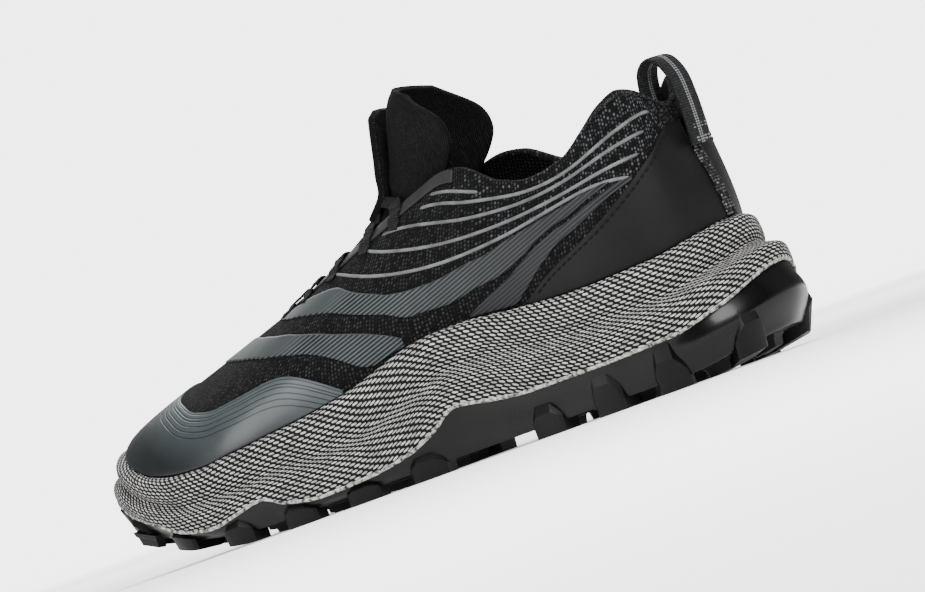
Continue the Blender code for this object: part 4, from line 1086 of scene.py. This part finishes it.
# ---------------------------------------------------------------------------------------------
# Throat binding. A folded grey-black tape, 4 to 5 mm wide, sewn over the cut edge of the knit
# from one corner of the collar round the foot of the throat to the other.
TAPE_THICKNESS = 0.8
TAPE_TURNS = (0.1925, 0.8075)
TAPE_LEVELS = (0.915, 0.998)


def binding_tape():
    """Smooth folded tape: a faint cross grain and a soft shine on its rounded edge."""
    material, tree, _ = finish("smooth folded tape", 0x1E1E1F, 0.55, IOR=1.48,
                               Specular_IOR_Level=0.2)
    surface = add(tree, "UVMap", uv_map="surface")
    grain = add(tree, "TexWave", {"Vector": surface, "Scale": 0.9, "Distortion": 1.0}, "Color")
    cloud = add(tree, "TexNoise", {"Vector": surface, "Scale": 0.12, "Detail": 3.0})
    colour = add(tree, "MixRGB", [cloud, 0x171718, 0x29292A])
    return clad(material, colour, grain, 0.15, 0.1)


film_on_upper("throat_tape", TAPE_TURNS, TAPE_LEVELS, (260, 7), binding_tape(),
              ("throat_binding",), TAPE_THICKNESS, 0.3)

# ---------------------------------------------------------------------------------------------
# Insole. A loose foam sock liner with brushed cloth on top; only the cloth is seen, deep inside.
INSOLE_THICKNESS = 4.0
INSOLE_DISH = 1.0
INSOLE_INSET = 0.9
# Up the liner's side: height over its foot, distance in from its rim
INSOLE_SIDE = ((0.0, 0.0), (1.5, 0.0), (3.0, 0.0), (INSOLE_THICKNESS - 0.3, 0.0),
               (INSOLE_THICKNESS, 0.6))
SOCK_RIBS = 500
SOCK_STITCH = 1.2


def insole_shape():
    """Side of the liner, and its top, which dips a little across its middle."""
    rim = reach_of("rim", STATIONS) - RIM_WALL - KNIT_WALL - INSOLE_INSET
    side = np.array([
        stand_off(TURNS, rim - inset, lambda p, up=up: height_of("floor", p) + UPPER_GAP + up)
        for up, inset in INSOLE_SIDE])
    top = across_floor(side[-1], 31)
    top[..., 2] -= INSOLE_DISH * np.sin(np.linspace(0, math.pi, 31))[None, :]
    return [(side, round_texture(side, SOCK_RIBS), True),
            (top, plain_texture(top) / SOCK_STITCH, False)]


SOCK_CLOTH = knit("brushed sock liner", 0x161718, 0x2B2D30, SOCK_STITCH)
insole = make_piece("insole_liner", insole_shape(), SOCK_CLOTH, 50.0, ("insole",))

# ---------------------------------------------------------------------------------------------
# Tongue. Padded knit under the throat, which stands above the collar as a shield round the
# front of the ankle, with a narrow padded flap in front of it.
TONGUE_THICKNESS = 3.0
TONGUE_GAP = 1.0
TONGUE_STITCH = 0.9
TONGUE_FEET = (0.93, 0.83)
LACE_STATIONS = (0.480, 0.530, 0.590, 0.655, 0.735)
TONGUE_EDGE = (0.86, 0.93, 1.0)
# By the way round: height of the arch as a share of the throat's width, lean towards the toe
TONGUE_CROWN = ((0.480, 0.27, 1.00), (0.530, 0.22, 0.45), (0.590, 0.17, 0.15), (0.655, 0.14, 0.0),
                (0.735, 0.12, 0.0), (0.930, 0.10, 0.0))
# By the rise: along and height of the middle, then half width, place and height of the wings
TONGUE_TOP = ((0.00, 0.468, 0.990, 0.146, 0.378, 0.918), (0.30, 0.458, 1.060, 0.152, 0.350, 0.985),
              (0.60, 0.446, 1.160, 0.163, 0.335, 1.065), (0.85, 0.434, 1.240, 0.162, 0.328, 1.135),
              (1.00, 0.418, 1.290, 0.142, 0.336, 1.195))
TONGUE_CORNER = {"cut": 0.45, "from": 0.55}
TONGUE_RISES = (0.00, 0.30, 0.55, 0.78, 0.90, 0.97, 1.00)


def tongue_row(around):
    """One row of the tongue's front face under the throat, lateral edge first."""
    level = np.array(TONGUE_EDGE)
    sink = wall_thickness(around / 2, level) + TONGUE_GAP
    lateral = off_upper(np.full(3, around / 2), level, -sink)
    medial = off_upper(np.full(3, 1 - around / 2), level[::-1], -sink[::-1])
    a, b = lateral[-1], medial[0]
    up = unit(np.cross(b - a, upper_point(0.5, 0.9) - upper_point(0.5, 1.0)))
    up = -up if up[2] < 0 else up
    crown = np.linalg.norm(b - a) * read(TONGUE_CROWN, 1, around)
    up[0] += read(TONGUE_CROWN, 2, around)
    middle = [a + (b - a) * v + up * crown * 4 * v * (1 - v) for v in (0.25, 0.5, 0.75)]
    return np.concatenate([lateral, middle, medial])


def tongue_top_row(rise):
    """One row of the tongue above the throat: an arch that wraps back round the ankle."""
    along, height, wing, wing_along, wing_height = (read(TONGUE_TOP, k, rise) for k in range(1, 6))
    corner = 1 - TONGUE_CORNER["cut"] * np.clip((rise - TONGUE_CORNER["from"])
                                                / (1 - TONGUE_CORNER["from"]), 0, 1) ** 2.6
    angle = np.linspace(math.pi / 2, -math.pi / 2, 9) * corner
    back = 1 - np.cos(angle)
    return np.stack([(along + (wing_along - along) * back) * SOLE_LENGTH,
                     wing * BALL_WIDTH * np.sin(angle),
                     (height + (wing_height - height) * back) * COLLAR_HEIGHT], -1)


def tongue_front():
    rows = [tongue_row(around) for around in TONGUE_FEET + LACE_STATIONS[::-1]]
    rows += [tongue_top_row(rise) for rise in TONGUE_RISES]
    fine = smoothed(rows, 4)
    return smoothed(fine.transpose(1, 0, 2), 5).transpose(1, 0, 2)


TONGUE_KNIT = knit("fine padded knit", 0x0D0D0E, 0x202123, TONGUE_STITCH)
tongue_grid = tongue_front()
tongue_texture = plain_texture(tongue_grid) / TONGUE_STITCH
tongue = make_piece("tongue_pad", [(tongue_grid, tongue_texture, False)], TONGUE_KNIT, 80.0,
                    ("tongue",))
if sum(p.normal.y * p.area for p in tongue.data.polygons) > 0:
    tongue.data.flip_normals()
modify(tongue, "SOLIDIFY", thickness=TONGUE_THICKNESS * MM, offset=-1.0)
modify(tongue, "SUBSURF", levels=1, render_levels=1)


def strap(path, wide, width, thickness, pieces=6, ends=None):
    """Grids of a flat strap with rounded edges; ends gives shares of its width along it."""
    path, wide = smoothed(path, pieces), smoothed(np.broadcast_to(wide, np.shape(path)), pieces)
    along = unit(np.gradient(path, axis=0))
    wide = unit(wide - along * (along * wide).sum(-1, keepdims=True))
    face = np.cross(along, wide)
    angle = np.linspace(0, 2 * math.pi, 25)
    across, through = (np.sign(way) * np.abs(way) ** 0.6 * size / 2
                       for way, size in ((np.cos(angle), width), (np.sin(angle), thickness)))
    narrow = np.ones(len(path)) if ends is None else ends(np.linspace(0, 1, len(path)))
    grid = np.array([path + wide * (x * narrow)[:, None] + face * y
                     for x, y in zip(across[:-1], through[:-1])]).transpose(1, 0, 2)
    texture = np.stack(np.broadcast_arrays(across[None, :] + width / 2,
                                           length_along(path)[:, None]), -1)
    return [(grid, texture, True), *end_caps(grid)]


# The narrow flap that stands up in front of the tongue, over the end of the laces
ACROSS = (0.0, 1.0, 0.0)
FLAP = {"width": 18.0, "thickness": 4.6, "lift": 2.6, "lean": 1.2,
        "rises": (0.15, 0.35, 0.55, 0.72, 0.84)}


def tongue_flap():
    path = np.array([tongue_row(around)[4] for around in LACE_STATIONS[1::-1]]
                    + [tongue_top_row(rise)[4] for rise in FLAP["rises"]])
    share = np.linspace(0, 1, len(path))
    path[:, 0] += FLAP["lift"] * np.sqrt(share) + FLAP["lean"] * share ** 2
    return strap(path, ACROSS, FLAP["width"], FLAP["thickness"],
                 ends=lambda v: np.sqrt(np.clip((1.02 - v) / 0.12, 0.25, 1)))


flap = make_piece("tongue_flap", tongue_flap(), TONGUE_KNIT, 60.0, ())

# ---------------------------------------------------------------------------------------------
# Webbing: the lace, its ten loops, and the heel loop with its strip. Flat polyester webbing
# woven with a rib across, black, its edges turned by the weft.
LACE = {"width": 4.6, "thickness": 1.2, "gap": 0.5, "inset": 0.5}
LACE_LOOP = {"width": 6.0, "thickness": 0.9}
PULL_TAB = {"width": 16.0, "thickness": 1.8, "height": 35.0}
STRIP = {"width": 11.0, "thickness": 0.9, "top": 0.66, "lift": 0.95, "crown": 0.4, "tape": 0.6}
LAID_GAP = 0.45
PULL_TAB_PATH = ((0.00, 0.00), (-0.04, 0.26), (-0.05, 0.50), (0.00, 0.76), (0.24, 0.95),
                 (0.55, 1.00), (0.86, 0.92), (1.00, 0.76), (1.02, 0.58), (1.00, 0.42),
                 (0.98, 0.28))


def webbing(name, dark, light, rib, speckle=1.0, stripes=()):
    """Woven polyester tape: ribs across it, with pale stitched lines along it where it has them."""
    material, tree, _ = finish(name, dark, 0.85, IOR=1.48, Specular_IOR_Level=0.15)
    _, width, length = texture_ways(tree)
    ribs = add(tree, "Math divide", [length, rib])
    threads = add(tree, "Math divide", [width, rib * 0.8])
    wave, cross = (swell_of(tree, way, 0.5, 0.15) for way in (ribs, threads))
    weave = add(tree, "Math multiply", [wave, cross])
    chance = chance_of(tree, *(add(tree, "Math floor", [way]) for way in (ribs, threads)))
    chance = add(tree, "Math power", [chance, speckle])
    shown = add(tree, "Math multiply", [weave, chance])
    colour = add(tree, "MixRGB", [shown, dark, light])
    for middle in stripes:
        line = add(tree, "MapRange", [off_line(tree, width, middle), 0.6, 0.35])
        grey = add(tree, "MixRGB", [wave, 0x3A3C3D, 0x76787A])
        colour = add(tree, "MixRGB", [line, colour, grey])
    height = add(tree, "Math multiply_add", [weave, 0.5, wave])
    return clad(material, colour, height, 0.8, 0.3)


def on_tongue(around, column, lift):
    """A point above the tongue's front face, between its two throat edges, and its normal."""
    row, above = tongue_row(around), tongue_row(around - 0.01)
    k = int(column)
    share = column - k
    here = row[k] + (row[k + 1] - row[k]) * share
    up = above[k] + (above[k + 1] - above[k]) * share - here
    normal = unit(np.cross(up, row[k + 1] - row[k]))
    normal = -normal if normal[2] < 0 else normal
    return here + normal * lift, normal


def lace_run(first, last, lift):
    """A flat lace from one eyelet (way round, column) to another, over the tongue."""
    places = [on_tongue(first[0] + (last[0] - first[0]) * share,
                        first[1] + (last[1] - first[1]) * share, lift + LACE["thickness"] / 2)
              for share in np.linspace(0, 1, 9)]
    path, normal = (np.array(kind) for kind in zip(*places))
    wide = np.cross(normal, np.gradient(path, axis=0))
    return strap(path, wide, LACE["width"], LACE["thickness"], 3)


LACE_WEAVE = webbing("flat woven lace", 0x080809, 0x1F2022, 0.8)
LATERAL_EYELET, MEDIAL_EYELET = 2.0 + LACE["inset"], 6.0 - LACE["inset"]
lowest = LACE_STATIONS[-1]
lace_grids = lace_run((lowest, LATERAL_EYELET), (lowest, MEDIAL_EYELET), LACE["gap"])
for high, low in zip(LACE_STATIONS, LACE_STATIONS[1:]):
    lace_grids += lace_run((low, LATERAL_EYELET), (high, MEDIAL_EYELET), LACE["gap"])
    lace_grids += lace_run((low, MEDIAL_EYELET), (high, LATERAL_EYELET), LACE["gap"] + 1.0)
make_piece("lace_flat", lace_grids, LACE_WEAVE, 50.0, ("lace",))

LOOP_WEAVE = webbing("narrow black webbing", 0x0A0A0B, 0x27282A, 0.9)
LOOP_LIE = ((0.850, 0.50), (0.890, 0.55), (0.925, 1.40), (0.965, 1.50))
OVER_LACE = LACE["gap"] + LACE["thickness"] + LAID_GAP + LACE_LOOP["thickness"] / 2
for side, medial in SIDES:
    for number, around in enumerate(LACE_STATIONS, 1):
        turn = turn_of(around, medial)
        path = [off_upper(turn, level, lift) for level, lift in LOOP_LIE]
        path.append(off_upper(turn, 1.0, LOOP_LIE[-1][1] + 0.3))
        path.append(on_tongue(around, MEDIAL_EYELET if medial else LATERAL_EYELET, OVER_LACE)[0])
        way = upper_point(turn + 0.005, 1.0) - upper_point(turn - 0.005, 1.0)
        make_piece("lace_webbing_%s_%d" % (side, number),
                   strap(path, way, LACE_LOOP["width"], LACE_LOOP["thickness"]),
                   LOOP_WEAVE, 50.0, ("lace_loop_%s_%d" % (side, number),))

TAB_LINES = (7.2, 8.8)
TAB_WEAVE = webbing("heel loop webbing", 0x0A0A0B, 0x2A2B2D, 0.95, 1.0, TAB_LINES)
tab_lift = 3 * LAID_GAP + COUNTER_THICKNESS + STRIP["thickness"] + PULL_TAB["thickness"] / 2
tab_foot = off_upper(0.0, STRIP["top"] - 0.02, tab_lift)
tab_corner = off_upper(PULL_TAB["width"] / 2 / PERIMETER, 1.0, -wall_thickness(0.0, 1.0))
tab_reach = tab_corner[0] + LAID_GAP + PULL_TAB["thickness"] / 2 - tab_foot[0]
tab_path = [tab_foot + np.array([a * tab_reach, 0.0, h * PULL_TAB["height"]])
            for a, h in PULL_TAB_PATH]
make_piece("heel_loop", strap(tab_path, ACROSS, PULL_TAB["width"], PULL_TAB["thickness"]),
           TAB_WEAVE, 50.0, ("pull_tab",))

STRIP_WEAVE = webbing("speckled edge webbing", 0x0A0A0B, 0x707273, 1.2, 2.5)
across = np.linspace(-1, 1, 25)
strip_lift = STRIP["lift"] + STRIP["crown"] * np.abs(np.sin(math.pi * across))
strip_grid = np.array([off_upper(across * STRIP["width"] / 2 / PERIMETER, level, strip_lift)
                       for level in np.linspace(0.012, STRIP["top"], 60)])
strip = make_piece("heel_strip", [(strip_grid, plain_texture(strip_grid), False)], STRIP_WEAVE,
                   60.0, ("back_strip",))
thicken(strip, STRIP["tape"], 0.2)

# Bar tacks of grey thread that hold the heel loop's foot to the strip
TACK_HEIGHTS = (1.2, 2.3, 6.2, 7.3)
TACK_HALF = 7.2
tack_grids = []
foot_front = tab_foot[0] - PULL_TAB["thickness"] / 2
for height in TACK_HEIGHTS:
    row = np.stack([np.full(30, foot_front), np.linspace(-TACK_HALF, TACK_HALF, 30),
                    np.full(30, tab_foot[2] + height)], 1)
    tack_grids += stitch_row(row, np.tile((-1.0, 0.0, 0.0), (30, 1)))
GREY_THREAD = finish("bonded grey thread", 0x5C5E5F, 0.6, IOR=1.5, Specular_IOR_Level=0.2)[0]
make_piece("heel_loop_tacks", tack_grids, GREY_THREAD, 80.0, ())

# ---------------------------------------------------------------------------------------------
# Studio: a pale matt floor, three softboxes, an even ceiling light and a pale sky, and the
# camera at the photograph's side, behind and lateral, rolled as there and just over the floor.
VIEW_AZIMUTH = 120.0
VIEW_ROLL = 20.0
VIEW_DISTANCE = 3.0
CAMERA_HEIGHT = 0.02
LENS = 312.0
VIEW_SHIFT = (0.058, -0.012)


def pale_floor():
    """Matt white acrylic with a painted glow that rises far from the shoe, where the lamps light
    the floor less.
    """
    material, tree, shader = finish("matt white acrylic", 0xE9E9E7, 1.0, Specular_IOR_Level=0.0,
                                    Emission_Color=linear(0xFFFFFF))
    away = add(tree, "VectorMath length", [add(tree, "TexCoord", out="Object")], "Value")
    # Painted light: the floor's glow grows from 0.5 near the shoe to 3.6 four metres out, making up
    # for lamp light that fades with distance.
    painted_floor_glow = add(tree, "MapRange", [away, 0.3, 4.0, 0.5, 3.6])
    tree.links.new(painted_floor_glow, shader.inputs["Emission Strength"])
    return material


bpy.ops.mesh.primitive_plane_add(size=14.0, location=(0.0, 0.0, 0.0))
floor = bpy.context.object
floor.name = "studio_floor"
floor.data.materials.append(pale_floor())


SHOE_MIDDLE = Vector((0.0, 0.0, 0.06))


def soft_light(name, place, size, power):
    """A square softbox that faces the shoe."""
    lamp = bpy.data.lights.new(name, "AREA")
    lamp.energy = power
    lamp.size = size
    light = put_in_scene(name, lamp)
    light.location = place
    light.rotation_euler = (SHOE_MIDDLE - Vector(place)).to_track_quat("-Z", "Y").to_euler()


soft_light("key softbox", (1.1, 1.4, 1.3), 1.1, 78.0)
soft_light("side softbox", (1.7, -0.9, 0.6), 0.9, 34.0)
soft_light("far softbox", (-1.2, -0.6, 1.3), 1.2, 30.0)
ceiling = bpy.data.lights.new("even ceiling light", "SUN")
ceiling.energy = 2.4
ceiling.angle = math.radians(70)
put_in_scene("even ceiling light", ceiling)
world = bpy.data.worlds.new("studio sky")
world.use_nodes = True
sky = world.node_tree.nodes["Background"]
sky.inputs["Color"].default_value = linear(0xFFFFFF)
seen = add(world.node_tree, "LightPath", out="Is Camera Ray")
strength = add(world.node_tree, "MapRange", {"Value": seen, "To Min": 0.17, "To Max": 4.5})
world.node_tree.links.new(strength, sky.inputs["Strength"])
bpy.context.scene.world = world

azimuth = math.radians(VIEW_AZIMUTH)
camera_data = bpy.data.cameras.new("photo camera")
camera_data.sensor_width = 36.0
camera_data.lens = LENS
camera_data.shift_x, camera_data.shift_y = VIEW_SHIFT
camera_data.clip_end = 50.0
camera = put_in_scene("photo camera", camera_data)
camera.location = (math.sin(azimuth) * VIEW_DISTANCE, -math.cos(azimuth) * VIEW_DISTANCE,
                   CAMERA_HEIGHT)
aim = Vector((0.0, 0.0, (CAD_BOX[0].z + CAD_BOX[1].z) / 2)) - camera.location
camera.rotation_euler = aim.to_track_quat("-Z", "Y").to_euler()
camera.rotation_euler.rotate_axis("Z", math.radians(-VIEW_ROLL))
bpy.context.scene.camera = camera

low, high = CAD_BOX
